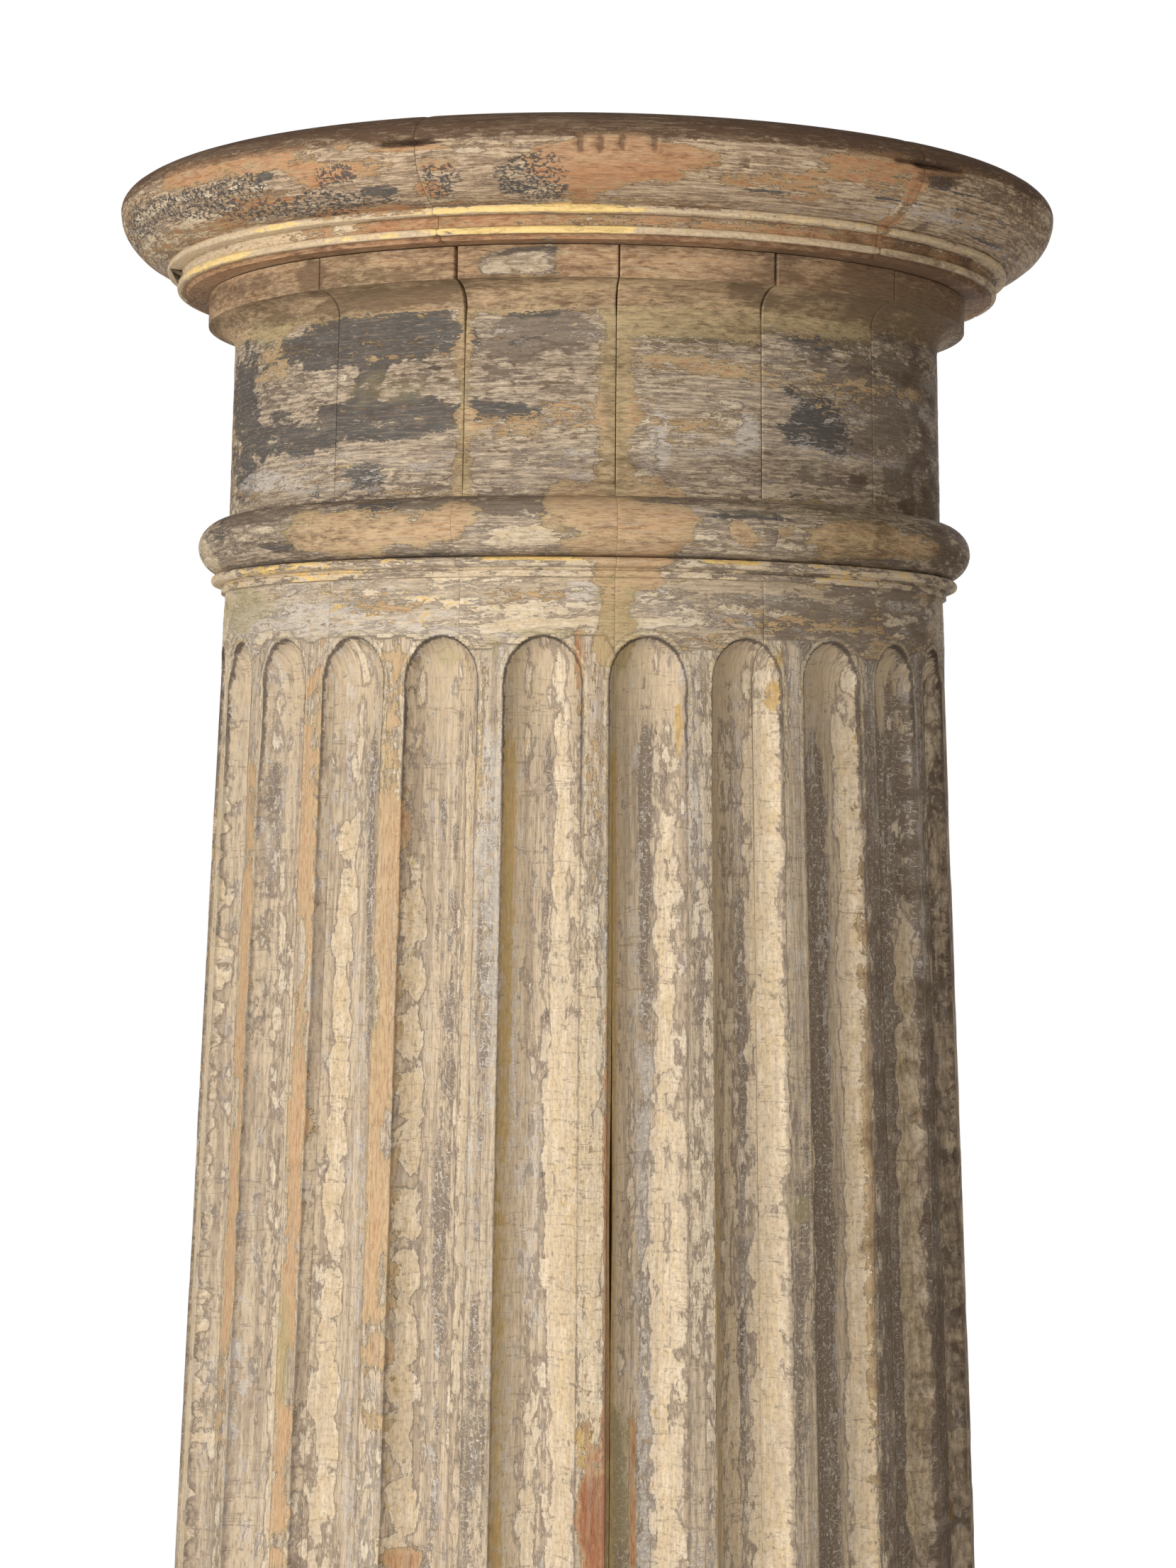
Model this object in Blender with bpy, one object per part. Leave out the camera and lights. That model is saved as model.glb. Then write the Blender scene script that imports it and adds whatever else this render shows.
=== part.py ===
"""Coopered wooden column with a turned neck, a segmented cap ring and 24 flutes.

Sixteen staves stand around a hollow core and carry every moulding of the shaft.
Six blocks make the round cap that lies on the stave ends. Sizes are in metres,
the column stands on z = 0 and its front faces -Y. Angles are counted from the
front, towards +X.
"""
import math

import bmesh
import bpy

# Whole column
COLUMN_HEIGHT = 2.440
STAVE_COUNT = 16
FLUTE_COUNT = 24
CAP_BLOCK_COUNT = 6
JOINT_GAP = 0.0003
FIRST_STAVE_JOINT = math.radians(4.5)
FIRST_FLUTE_CENTRE = math.radians(-5.66)
FIRST_CAP_JOINT = math.radians(-19.0)

# Cap ring: rounded nose, sloping echinus, two small beads and a lip
CAP_HEIGHT = 0.0707
CAP_TOP_RADIUS = 0.2690
CAP_NOSE_RADIUS = 0.3040
CAP_NOSE_DROP = 0.0189
ECHINUS_FOOT_RADIUS = 0.2730
ECHINUS_DROP = 0.0334
CAP_BEAD_HEIGHT = 0.0045
CAP_BEAD_SWELL = 0.0010
CAP_GROOVE_RADIUS = 0.2650
CAP_GROOVE_HEIGHT = 0.0067
CAP_LIP_RADIUS = 0.2605
CAP_BORE_RADIUS = 0.1900

# Mouldings turned on the staves, from the top down
FILLET_RADIUS = 0.2473
FILLET_HEIGHT = 0.0189
CAVETTO_HEIGHT = 0.0140
NECK_RADIUS = 0.2300
NECK_HEIGHT = 0.1120
NECK_FOOT_RADIUS = 0.2328
TORUS_HEIGHT = 0.0360
TORUS_PROJECTION = 0.0195
BEAD_HEIGHT = 0.0061
BEAD_RADIUS = 0.2442
BEAD_GROOVE = 0.0020
LISTEL_HEIGHT = 0.0033
LISTEL_RADIUS = 0.2375
BAND_HEIGHT = 0.0350

# Shaft: straight taper at the top, then a slow swell down to the foot
SHAFT_TOP_RADIUS = 0.2351
SHAFT_MID_RADIUS = 0.2640
SHAFT_FOOT_RADIUS = 0.3088
STRAIGHT_TAPER_LENGTH = 0.6600

# Stave walls
NECK_WALL = 0.0450
FOOT_WALL = 0.0450

# Flutes
FLUTE_ANGLE = math.radians(11.2)
FLUTE_DEPTH = 0.0175
FLUTE_HEAD_LENGTH = 0.0270
FLUTE_WALL_ANGLE = math.radians(76.0)
CUTTER_CLEARANCE = 0.0060
CUTTER_OVERRUN = 0.0100

# Facets
STAVE_SPANS = 3
CAP_SPANS = 7
FLUTE_SPANS = 6
HEAD_ROWS = 4
SWELL_ROWS = 3
TORUS_SPANS = 8
CAVETTO_SPANS = 4
NOSE_SPANS = 5
ECHINUS_SPANS = 5

# Levels that follow from the sizes above
STAVE_TOP = COLUMN_HEIGHT - CAP_HEIGHT - JOINT_GAP
FILLET_BOTTOM = STAVE_TOP - FILLET_HEIGHT
NECK_TOP = FILLET_BOTTOM - CAVETTO_HEIGHT
TORUS_TOP = NECK_TOP - NECK_HEIGHT
TORUS_BOTTOM = TORUS_TOP - TORUS_HEIGHT
BEAD_BOTTOM = TORUS_BOTTOM - BEAD_HEIGHT
LISTEL_TOP = BEAD_BOTTOM - BEAD_GROOVE
LISTEL_BOTTOM = LISTEL_TOP - LISTEL_HEIGHT
FLUTE_TOP = LISTEL_BOTTOM - BAND_HEIGHT
SWELL_TOP = LISTEL_BOTTOM - STRAIGHT_TAPER_LENGTH

# Colours: linear red, green, blue
STAVE_COLOUR = (0.42, 0.33, 0.23)
CAP_COLOUR = (0.36, 0.24, 0.14)


def shaft_radius(height):
    """Outer radius of the shaft at a height, before the flutes are cut."""
    slope = (SHAFT_MID_RADIUS - SHAFT_TOP_RADIUS) / STRAIGHT_TAPER_LENGTH
    if height >= SWELL_TOP:
        return SHAFT_TOP_RADIUS + slope * (LISTEL_BOTTOM - height)
    below = (SWELL_TOP - height) / SWELL_TOP
    easing = SHAFT_MID_RADIUS + slope * SWELL_TOP - SHAFT_FOOT_RADIUS
    return SHAFT_MID_RADIUS + slope * SWELL_TOP * below - easing * below * below


def shaft_levels():
    """Heights of the shaft's rows below the flute heads, from the foot up."""
    return [SWELL_TOP * i / SWELL_ROWS for i in range(SWELL_ROWS + 1)]


def arc_points(centre, width, height, start, end, spans):
    """Points of an elliptical arc in the (radius, height) plane, ends included."""
    points = []
    for i in range(spans + 1):
        turn = math.radians(start + (end - start) * i / spans)
        points.append((centre[0] + width * math.cos(turn), centre[1] + height * math.sin(turn)))
    return points


def stave_outline():
    """Outer side of a stave from the foot to the top, as (radius, height) points."""
    outline = [(shaft_radius(z), z) for z in shaft_levels()]
    outline.append((shaft_radius(LISTEL_BOTTOM), LISTEL_BOTTOM))
    outline.append((LISTEL_RADIUS, LISTEL_BOTTOM))
    outline.append((LISTEL_RADIUS, LISTEL_TOP))
    outline.append((SHAFT_TOP_RADIUS, LISTEL_TOP))
    outline.append((SHAFT_TOP_RADIUS, BEAD_BOTTOM))
    bead_swell = BEAD_RADIUS - SHAFT_TOP_RADIUS
    bead_centre = (SHAFT_TOP_RADIUS, (BEAD_BOTTOM + TORUS_BOTTOM) / 2.0)
    outline += arc_points(bead_centre, bead_swell, BEAD_HEIGHT / 2.0, -60, 60, 3)
    torus_centre = (NECK_FOOT_RADIUS, (TORUS_TOP + TORUS_BOTTOM) / 2.0)
    outline += arc_points(torus_centre, TORUS_PROJECTION, TORUS_HEIGHT / 2.0, -90, 90, TORUS_SPANS)
    outline.append((NECK_RADIUS, NECK_TOP))
    hollow_centre = (FILLET_RADIUS, NECK_TOP)
    hollow_width = FILLET_RADIUS - NECK_RADIUS
    hollow = arc_points(hollow_centre, hollow_width, CAVETTO_HEIGHT, 180, 90, CAVETTO_SPANS)
    outline += hollow[1:-1]
    outline.append((FILLET_RADIUS, FILLET_BOTTOM))
    outline.append((FILLET_RADIUS, STAVE_TOP))
    return outline


def cap_outline():
    """Closed section of the cap ring, as (radius, height) points going up the outside."""
    base = STAVE_TOP + JOINT_GAP
    nose_level = COLUMN_HEIGHT - CAP_NOSE_DROP
    echinus_foot = nose_level - ECHINUS_DROP
    outline = [(CAP_BORE_RADIUS, base), (CAP_LIP_RADIUS, base)]
    groove_top = echinus_foot - CAP_BEAD_HEIGHT
    groove_bottom = groove_top - CAP_GROOVE_HEIGHT
    outline.append((CAP_LIP_RADIUS + CAP_BEAD_SWELL, (base + groove_bottom) / 2.0))
    outline.append((CAP_LIP_RADIUS, groove_bottom))
    outline.append((CAP_GROOVE_RADIUS, groove_top))
    outline.append((ECHINUS_FOOT_RADIUS, groove_top))
    outline.append((ECHINUS_FOOT_RADIUS + CAP_BEAD_SWELL, (groove_top + echinus_foot) / 2.0))
    reach = CAP_NOSE_RADIUS - ECHINUS_FOOT_RADIUS
    for i in range(ECHINUS_SPANS):
        turn = math.pi / 2.0 * (ECHINUS_SPANS - i) / ECHINUS_SPANS
        radius = ECHINUS_FOOT_RADIUS + reach * math.cos(turn) ** 1.35
        outline.append((radius, nose_level - ECHINUS_DROP * math.sin(turn)))
    nose_centre = (CAP_TOP_RADIUS, nose_level)
    nose_width = CAP_NOSE_RADIUS - CAP_TOP_RADIUS
    outline += arc_points(nose_centre, nose_width, CAP_NOSE_DROP, 0, 90, NOSE_SPANS)
    outline.append((CAP_BORE_RADIUS, COLUMN_HEIGHT))
    return outline


def bore_radius(height):
    """Distance from the axis to the flat inner face of a stave."""
    foot = shaft_radius(0.0) - FOOT_WALL
    top = NECK_RADIUS - NECK_WALL
    return foot + (top - foot) * height / STAVE_TOP


def polar(radius, angle, height):
    """Point at a radius and an angle from the front."""
    return (radius * math.sin(angle), -radius * math.cos(angle), height)


def joint_inset(radius):
    """Angle that moves a joint face back by half the joint gap."""
    return math.asin(JOINT_GAP / 2.0 / radius)


def wood(name, colour, roughness):
    """Principled material of one piece."""
    material = bpy.data.materials.new(name)
    material.use_nodes = True
    shader = material.node_tree.nodes["Principled BSDF"]
    shader.inputs["Base Color"].default_value = (*colour, 1.0)
    shader.inputs["Roughness"].default_value = roughness
    shader.inputs["Metallic"].default_value = 0.0
    material.diffuse_color = (*colour, 1.0)
    return material


def add_object(name, mesh, colour, roughness):
    """Object in the scene with its own material and soft shading between facets."""
    mesh.materials.append(wood(name + "_wood", colour, roughness))
    mesh.shade_smooth()
    mesh.set_sharp_from_angle(angle=math.radians(24.0))
    piece = bpy.data.objects.new(name, mesh)
    bpy.context.scene.collection.objects.link(piece)
    return piece


def sector_mesh(name, section, start, end, spans, flat_points=0):
    """Closed wedge of a turned ring between two joint angles.

    The section's last flat_points points lie on a flat inner face, the
    others on circles around the column's axis.
    """
    shell = bmesh.new()
    middle = (start + end) / 2.0
    columns = []
    for i in range(spans + 1):
        column = []
        for k, (radius, height) in enumerate(section):
            inset = joint_inset(radius)
            angle = start + (end - start) * i / spans
            if i == 0:
                angle = start + inset
            if i == spans:
                angle = end - inset
            if k >= len(section) - flat_points:
                radius = radius / math.cos(angle - middle)
            column.append(shell.verts.new(polar(radius, angle, height)))
        columns.append(column)
    count = len(section)
    for left, right in zip(columns[:-1], columns[1:]):
        for k in range(count):
            after = (k + 1) % count
            shell.faces.new((left[k], right[k], right[after], left[after]))
    shell.faces.new(list(reversed(columns[0])))
    shell.faces.new(columns[-1])
    bmesh.ops.recalc_face_normals(shell, faces=shell.faces)
    mesh = bpy.data.meshes.new(name)
    shell.to_mesh(mesh)
    shell.free()
    return mesh


def flute_section(centre, height, scale):
    """One level of a flute cutter: the round bottom, then the lid outside the wood."""
    radius = shaft_radius(height)
    depth = FLUTE_DEPTH * radius / SHAFT_TOP_RADIUS * scale
    points = []
    for i in range(FLUTE_SPANS + 1):
        turn = FLUTE_WALL_ANGLE * (2.0 * i / FLUTE_SPANS - 1.0)
        across = math.sin(turn) / math.sin(FLUTE_WALL_ANGLE)
        down = (math.cos(turn) - math.cos(FLUTE_WALL_ANGLE)) / (1.0 - math.cos(FLUTE_WALL_ANGLE))
        angle = centre + FLUTE_ANGLE / 2.0 * scale * across
        points.append(polar(radius - depth * down, angle, height))
    outside = radius + CUTTER_CLEARANCE
    points.append(polar(outside, centre + FLUTE_ANGLE / 2.0 * scale, height))
    points.append(polar(outside, centre - FLUTE_ANGLE / 2.0 * scale, height))
    return points


def add_flute_cutter(shell, centre):
    """Closed round-nosed bar that cuts one flute, added to a bmesh."""
    sections = [flute_section(centre, -CUTTER_OVERRUN, 1.0)]
    for height in shaft_levels()[1:]:
        sections.append(flute_section(centre, height, 1.0))
    for i in range(HEAD_ROWS):
        turn = math.pi / 2.0 * i / HEAD_ROWS
        height = FLUTE_TOP - FLUTE_HEAD_LENGTH * (1.0 - math.sin(turn))
        sections.append(flute_section(centre, height, math.cos(turn)))
    rings = [[shell.verts.new(point) for point in section] for section in sections]
    count = len(rings[0])
    for low, high in zip(rings[:-1], rings[1:]):
        for k in range(count):
            after = (k + 1) % count
            shell.faces.new((low[k], low[after], high[after], high[k]))
    shell.faces.new(list(reversed(rings[0])))
    tip_radius = shaft_radius(FLUTE_TOP) + CUTTER_CLEARANCE / 6.0
    tip = shell.verts.new(polar(tip_radius, centre, FLUTE_TOP))
    for k in range(count):
        after = (k + 1) % count
        shell.faces.new((rings[-1][k], rings[-1][after], tip))


def flute_cutter():
    """All flute cutters in one hidden object."""
    shell = bmesh.new()
    for i in range(FLUTE_COUNT):
        add_flute_cutter(shell, FIRST_FLUTE_CENTRE + math.tau * i / FLUTE_COUNT)
    bmesh.ops.recalc_face_normals(shell, faces=shell.faces)
    mesh = bpy.data.meshes.new("flute_cutter")
    shell.to_mesh(mesh)
    shell.free()
    cutter = bpy.data.objects.new("flute_cutter", mesh)
    cutter.hide_render = True
    cutter.display_type = "WIRE"
    bpy.context.scene.collection.objects.link(cutter)
    return cutter


def shade(colour, index):
    """A little lighter or darker from piece to piece."""
    change = 1.0 + 0.08 * math.sin(2.4 * index)
    return tuple(channel * change for channel in colour)


def build_staves():
    """Sixteen staves, each a wedge of the turned shaft with the flutes cut in."""
    cutter = flute_cutter()
    outline = stave_outline()
    section = outline + [(bore_radius(STAVE_TOP), STAVE_TOP), (bore_radius(0.0), 0.0)]
    step = math.tau / STAVE_COUNT
    for i in range(STAVE_COUNT):
        name = "stave_%02d" % (i + 1)
        start = FIRST_STAVE_JOINT + step * i
        mesh = sector_mesh(name, section, start, start + step, STAVE_SPANS, flat_points=2)
        piece = add_object(name, mesh, shade(STAVE_COLOUR, i), 0.8)
        cut = piece.modifiers.new("flutes", "BOOLEAN")
        cut.operation = "DIFFERENCE"
        cut.solver = "EXACT"
        cut.object = cutter


def build_cap():
    """Six blocks of the cap ring."""
    outline = cap_outline()
    step = math.tau / CAP_BLOCK_COUNT
    for i in range(CAP_BLOCK_COUNT):
        name = "cap_ring_%d" % (i + 1)
        start = FIRST_CAP_JOINT + step * i
        mesh = sector_mesh(name, outline, start, start + step, CAP_SPANS)
        add_object(name, mesh, shade(CAP_COLOUR, i), 0.75)


def main():
    """Clear the scene and build every piece."""
    for old in list(bpy.data.objects):
        bpy.data.objects.remove(old, do_unlink=True)
    build_staves()
    build_cap()


main()
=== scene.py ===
"""Looks of a weathered wooden column: fluted staves and a turned cap ring, their old paint worn through."""

import logging
import math
from dataclasses import dataclass
from enum import Enum

import bpy
import numpy as np
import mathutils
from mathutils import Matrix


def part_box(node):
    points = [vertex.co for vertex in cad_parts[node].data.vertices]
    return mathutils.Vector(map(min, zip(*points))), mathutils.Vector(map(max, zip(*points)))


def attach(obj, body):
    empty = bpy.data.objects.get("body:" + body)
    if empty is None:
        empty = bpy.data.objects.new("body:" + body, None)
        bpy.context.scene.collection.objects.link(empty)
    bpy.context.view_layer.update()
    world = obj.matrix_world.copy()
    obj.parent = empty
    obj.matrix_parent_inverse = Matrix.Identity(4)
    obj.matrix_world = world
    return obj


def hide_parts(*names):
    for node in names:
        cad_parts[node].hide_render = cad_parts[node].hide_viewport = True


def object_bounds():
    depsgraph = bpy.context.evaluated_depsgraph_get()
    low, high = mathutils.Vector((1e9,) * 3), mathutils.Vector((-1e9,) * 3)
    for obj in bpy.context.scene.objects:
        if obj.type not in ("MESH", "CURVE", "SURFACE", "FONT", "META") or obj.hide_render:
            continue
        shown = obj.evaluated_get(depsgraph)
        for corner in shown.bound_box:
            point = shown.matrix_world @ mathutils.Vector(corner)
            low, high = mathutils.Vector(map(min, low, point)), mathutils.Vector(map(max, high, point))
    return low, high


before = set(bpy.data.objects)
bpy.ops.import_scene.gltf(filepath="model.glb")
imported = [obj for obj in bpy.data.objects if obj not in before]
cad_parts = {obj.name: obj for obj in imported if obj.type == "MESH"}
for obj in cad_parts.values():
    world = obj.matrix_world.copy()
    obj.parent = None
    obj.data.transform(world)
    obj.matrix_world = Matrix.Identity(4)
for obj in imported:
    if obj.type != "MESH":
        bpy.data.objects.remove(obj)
cad_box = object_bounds()

LOG = logging.getLogger("column")
Array = np.ndarray
Socket = bpy.types.NodeSocket
Vector = tuple[float, float, float]
Colour = tuple[float, float, float, float]


class Layer(Enum):
    """Coats and stains on the wood, with painted shade in the grime layer; each one is a field on the surface
    and shows where it is over a half.
    """

    DARK = "dark"
    SLATE = "slate"
    NET = "net"
    PALE = "pale"
    PAINT = "paint"
    YELLOW = "yellow"
    BARE = "bare"
    RUST = "rust"
    GREEN = "green"
    GRIME_AND_SHADE = "grime"


class Zone(Enum):
    """Stretches of the column that weathered in their own way."""

    HIDDEN = 0
    FILLET = 1
    CAVETTO = 2
    NECK = 3
    TORUS = 4
    BEAD = 5
    BAND = 6
    RIB = 7
    FLUTE = 8
    CAP_TOP = 9
    CAP_EDGE = 10
    CAP_FACE = 11
    CAP_BEAD = 12
    CAP_GROOVE = 13
    CAP_LIP = 14


@dataclass(frozen=True)
class Turning:
    """Turned outline and flutes of the column, in metres and degrees; levels count up from the foot."""

    stave_top: float
    fillet_radius: float = 0.2473
    fillet_height: float = 0.0189
    cavetto_height: float = 0.0140
    neck_radius: float = 0.2300
    neck_height: float = 0.1120
    neck_foot_radius: float = 0.2328
    torus_height: float = 0.0360
    torus_projection: float = 0.0195
    bead_height: float = 0.0061
    bead_radius: float = 0.2442
    bead_groove: float = 0.0020
    groove_depth: float = 0.001
    groove_ease: float = 0.0008
    neck_ease: float = 0.0004
    listel_height: float = 0.0033
    listel_radius: float = 0.2375
    band_height: float = 0.0350
    shaft_top_radius: float = 0.2351
    shaft_mid_radius: float = 0.2640
    shaft_foot_radius: float = 0.3088
    straight_taper: float = 0.6600
    wall: float = 0.0450
    flute_count: int = 24
    first_flute: float = -5.66
    flute_angle: float = 11.2
    flute_depth: float = 0.0175
    flute_head: float = 0.0270
    flute_wall: float = 76.0

    @property
    def fillet_bottom(self) -> float:
        """Level of the fillet's lower edge."""
        return self.stave_top - self.fillet_height

    @property
    def neck_top(self) -> float:
        """Level where the cavetto meets the neck."""
        return self.fillet_bottom - self.cavetto_height

    @property
    def torus_top(self) -> float:
        """Level where the neck meets the torus."""
        return self.neck_top - self.neck_height

    @property
    def torus_bottom(self) -> float:
        """Level of the torus's lower edge."""
        return self.torus_top - self.torus_height

    @property
    def listel_bottom(self) -> float:
        """Level where the shaft's own taper starts."""
        return self.torus_bottom - self.bead_height - self.bead_groove - self.listel_height

    @property
    def flute_top(self) -> float:
        """Level of the flutes' round heads."""
        return self.listel_bottom - self.band_height

    def shaft_radius(self, z: Array) -> Array:
        """Radius of the shaft over its ribs.

        Args:
            z: Levels above the foot.

        Returns:
            The radius at each level.
        """
        slope = (self.shaft_mid_radius - self.shaft_top_radius) / self.straight_taper
        bend = self.listel_bottom - self.straight_taper
        upper = self.shaft_top_radius + slope * (self.listel_bottom - z)
        below = np.clip((bend - z) / bend, 0.0, 1.0)
        rise = slope * bend
        swell = self.shaft_mid_radius + rise - self.shaft_foot_radius
        lower = self.shaft_mid_radius + rise * below - swell * below ** 2
        return np.where(z > bend, upper, lower)

    def head_scale(self, z: Array) -> Array:
        """Width of a flute as a share of its full width: one below its head, falling to nothing at its top.

        Args:
            z: Levels above the foot.

        Returns:
            The share at each level.
        """
        sine = np.clip(1.0 - (self.flute_top - z) / self.flute_head, 0.0, 1.0)
        scale = np.sqrt(1.0 - sine ** 2)
        return np.where(z >= self.flute_top, 0.0, scale)

    def flute_offset(self, angle: Array) -> Array:
        """Signed angle from the nearest flute's centre, in degrees, negative to its left."""
        pitch = 360.0 / self.flute_count
        return (angle - self.first_flute + pitch / 2.0) % pitch - pitch / 2.0

    def flute_number(self, angle: Array) -> Array:
        """Number of the nearest flute.

        Args:
            angle: Angles round the column.

        Returns:
            The numbers: nought at the first flute, negative to its left.
        """
        pitch = 360.0 / self.flute_count
        number = np.floor((angle - self.first_flute + pitch / 2.0) / pitch).astype(int)
        half = self.flute_count // 2
        return (number + half) % self.flute_count - half

    def flute_drop(self, angle: Array, z: Array) -> Array:
        """Depth of the flutes below the shaft's ribs.

        Args:
            angle: Angles round the column.
            z: Levels above the foot.

        Returns:
            The depth at each point.
        """
        scale = self.head_scale(z)
        half = np.maximum(self.flute_angle / 2.0 * scale, 1e-6)
        across = np.clip(self.flute_offset(angle) / half, -1.0, 1.0)
        wall = math.radians(self.flute_wall)
        turn = np.arcsin(across * math.sin(wall))
        down = (np.cos(turn) - math.cos(wall)) / (1.0 - math.cos(wall))
        return self.flute_depth * self.shaft_radius(z) / self.shaft_top_radius * scale * down

    def arris(self, angle: Array, z: Array) -> Array:
        """Distance from the flutes' edges, in metres, negative inside a flute.

        Args:
            angle: Angles round the column.
            z: Levels above the foot.

        Returns:
            The distance at each point.
        """
        reach = np.radians(self.flute_offset(angle)) * self.shaft_radius(z)
        half = math.radians(self.flute_angle / 2.0) * self.shaft_radius(z)
        head_foot = self.flute_top - self.flute_head
        rise = np.maximum(z - head_foot, 0.0) * half / self.flute_head
        return np.hypot(reach, rise) - half

    def bore_radius(self, z: Array) -> Array:
        """Radius of the hollow core at the staves' joints, at each level."""
        foot, top = self.shaft_foot_radius - self.wall, self.neck_radius - self.wall
        return foot + (top - foot) * z / self.stave_top


@dataclass(frozen=True)
class CapSection:
    """Section of the cap ring, in metres, with heights above its underside."""

    top_radius: float = 0.2690
    nose_radius: float = 0.3040
    nose_drop: float = 0.0189
    echinus_foot_radius: float = 0.2730
    echinus_drop: float = 0.0334
    echinus_fullness: float = 1.35
    bead_height: float = 0.0045
    bead_swell: float = 0.0010
    groove_radius: float = 0.2650
    groove_height: float = 0.0067
    lip_radius: float = 0.2605
    lip_rise: float = 0.0027
    lip_flare: float = 0.0012
    groove_ease: float = 0.0006
    lower_bead_step: float = 0.0016
    bore_radius: float = 0.1900

    def outline(self, base: float, top: float) -> list[tuple[Zone, Array]]:
        """Stretches of the section from the bore's top edge outwards, down and back in.

        Args:
            base: Level of the underside.
            top: Level of the upper face.

        Returns:
            Zones with rows of radius and level, each starting where the last one ends.
        """
        nose = top - self.nose_drop
        foot = nose - self.echinus_drop
        turn = np.linspace(0.0, math.pi / 2.0, 16)
        edge = np.stack([
            self.top_radius + (self.nose_radius - self.top_radius) * np.sin(turn),
            nose + self.nose_drop * np.cos(turn)], axis=1)
        reach = self.nose_radius - self.echinus_foot_radius
        face = np.stack([
            self.echinus_foot_radius + reach * np.cos(turn) ** self.echinus_fullness,
            nose - self.echinus_drop * np.sin(turn)], axis=1)
        groove_top = foot - self.bead_height
        groove_bottom = groove_top - self.groove_height
        upper = self.bead(self.echinus_foot_radius, foot, groove_top)
        hollow = np.array([
            (self.groove_radius, groove_top - self.groove_ease),
            (self.groove_radius, groove_bottom + self.groove_ease)])
        lower_radius = self.groove_radius + self.lower_bead_step
        lower = self.bead(lower_radius, groove_bottom, groove_bottom - self.bead_height)
        lip = np.array([(self.lip_radius + self.lip_flare, base + self.lip_rise), (self.lip_radius, base)])
        under = np.array([(self.lip_radius, base), (self.bore_radius, base)])
        bore = np.array([(self.bore_radius, base), (self.bore_radius, top)])
        flat = np.array([(self.bore_radius, top), (self.top_radius, top)])
        return [
            (Zone.CAP_TOP, flat), (Zone.CAP_EDGE, edge), (Zone.CAP_FACE, face), (Zone.CAP_BEAD, upper),
            (Zone.CAP_GROOVE, hollow), (Zone.CAP_BEAD, lower), (Zone.CAP_LIP, lip),
            (Zone.HIDDEN, under), (Zone.HIDDEN, bore)]

    def bead(self, radius: float, top: float, bottom: float) -> Array:
        """Small half-round on the ring, as rows of radius and level.

        Args:
            radius: Radius at the bead's edges.
            top: Level of its upper edge.
            bottom: Level of its lower edge.

        Returns:
            Points from the upper to the lower edge.
        """
        turn = np.linspace(0.0, math.pi, 7)
        middle, half = (top + bottom) / 2.0, (top - bottom) / 2.0
        return np.stack([radius + self.bead_swell * np.sin(turn), middle + half * np.cos(turn)], axis=1)


@dataclass(frozen=True)
class Noise:
    """Smooth seeded noise round the column, from minus one to one, that closes on itself."""

    seed: int
    around: float
    along: float
    octaves: int = 2
    nominal_radius: float = 0.25
    reach: float = 2.6

    def at(self, angle: Array, z: Array) -> Array:
        """Noise at points of the surface.

        Args:
            angle: Angles round the column, in degrees.
            z: Levels, or lengths along a section, in metres.

        Returns:
            A value for each point.
        """
        total = np.zeros(np.broadcast(angle, z).shape)
        weight = 0.0
        for octave in range(self.octaves):
            share = 0.5 ** octave
            total += share * self.single(angle, z, octave)
            weight += share
        return total / weight

    def single(self, angle: Array, z: Array, octave: int) -> Array:
        """One octave of the noise.

        Args:
            angle: Angles round the column, in degrees.
            z: Levels in metres.
            octave: How many times the cells are halved.

        Returns:
            A value for each point.
        """
        step = 2.0 ** octave
        columns = max(3, round(2.0 * math.pi * self.nominal_radius / self.around * step))
        rows = math.ceil(self.reach / self.along * step) + 3
        grid = np.random.default_rng(self.seed * 7 + octave).uniform(-1.0, 1.0, (rows, columns))
        x = (angle / 360.0 * columns) % columns
        y = np.clip(z / self.along * step + 1.0, 0.0, rows - 2.001)
        column, row = np.floor(x).astype(int) % columns, np.floor(y).astype(int)
        fx, fy = x - np.floor(x), y - row
        fx, fy = fx * fx * (3.0 - 2.0 * fx), fy * fy * (3.0 - 2.0 * fy)
        beside = (column + 1) % columns
        low = grid[row, column] * (1.0 - fx) + grid[row, beside] * fx
        high = grid[row + 1, column] * (1.0 - fx) + grid[row + 1, beside] * fx
        return (low * (1.0 - fy) + high * fy) * 1.5


@dataclass(frozen=True)
class Patch:
    """One patch of a layer, set by its centre, half sizes and how much it adds or takes away."""

    layer: Layer
    angle: float
    level: float
    half_angle: float
    half_height: float
    strength: float = 1.0
    square: float = 2.5
    lean: float = 0.0
    edge: float = 0.6
    raggedness: float = 0.35

    def weight(self, angle: Array, z: Array, ragged: Array) -> Array:
        """How far each point lies inside the patch.

        Args:
            angle: Angles round the column, in degrees.
            z: Levels in metres.
            ragged: Noise that roughens the patch's edge.

        Returns:
            The patch's strength inside, falling to nothing past its edge.
        """
        x = ((angle - self.angle + self.lean * (z - self.level) + 180.0) % 360.0 - 180.0) / self.half_angle
        y = (z - self.level) / self.half_height
        far = (np.abs(x) ** self.square + np.abs(y) ** self.square) ** (1.0 / self.square)
        full = 1.0 + self.edge / 2.0
        return self.strength * np.clip((full - far - self.raggedness * ragged) / self.edge, 0.0, 1.0)


def patches(places: dict[Layer, tuple[tuple[float, ...], ...]]) -> tuple[Patch, ...]:
    """Makes one region's patches; each row holds a patch's values from its angle on."""
    return tuple(Patch(layer, *row) for layer, rows in places.items() for row in rows)


@dataclass(frozen=True)
class Coat:
    """How much of one layer a zone carries: its level, and how far noise moves it."""

    level: float
    spread: float = 0.0


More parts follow.
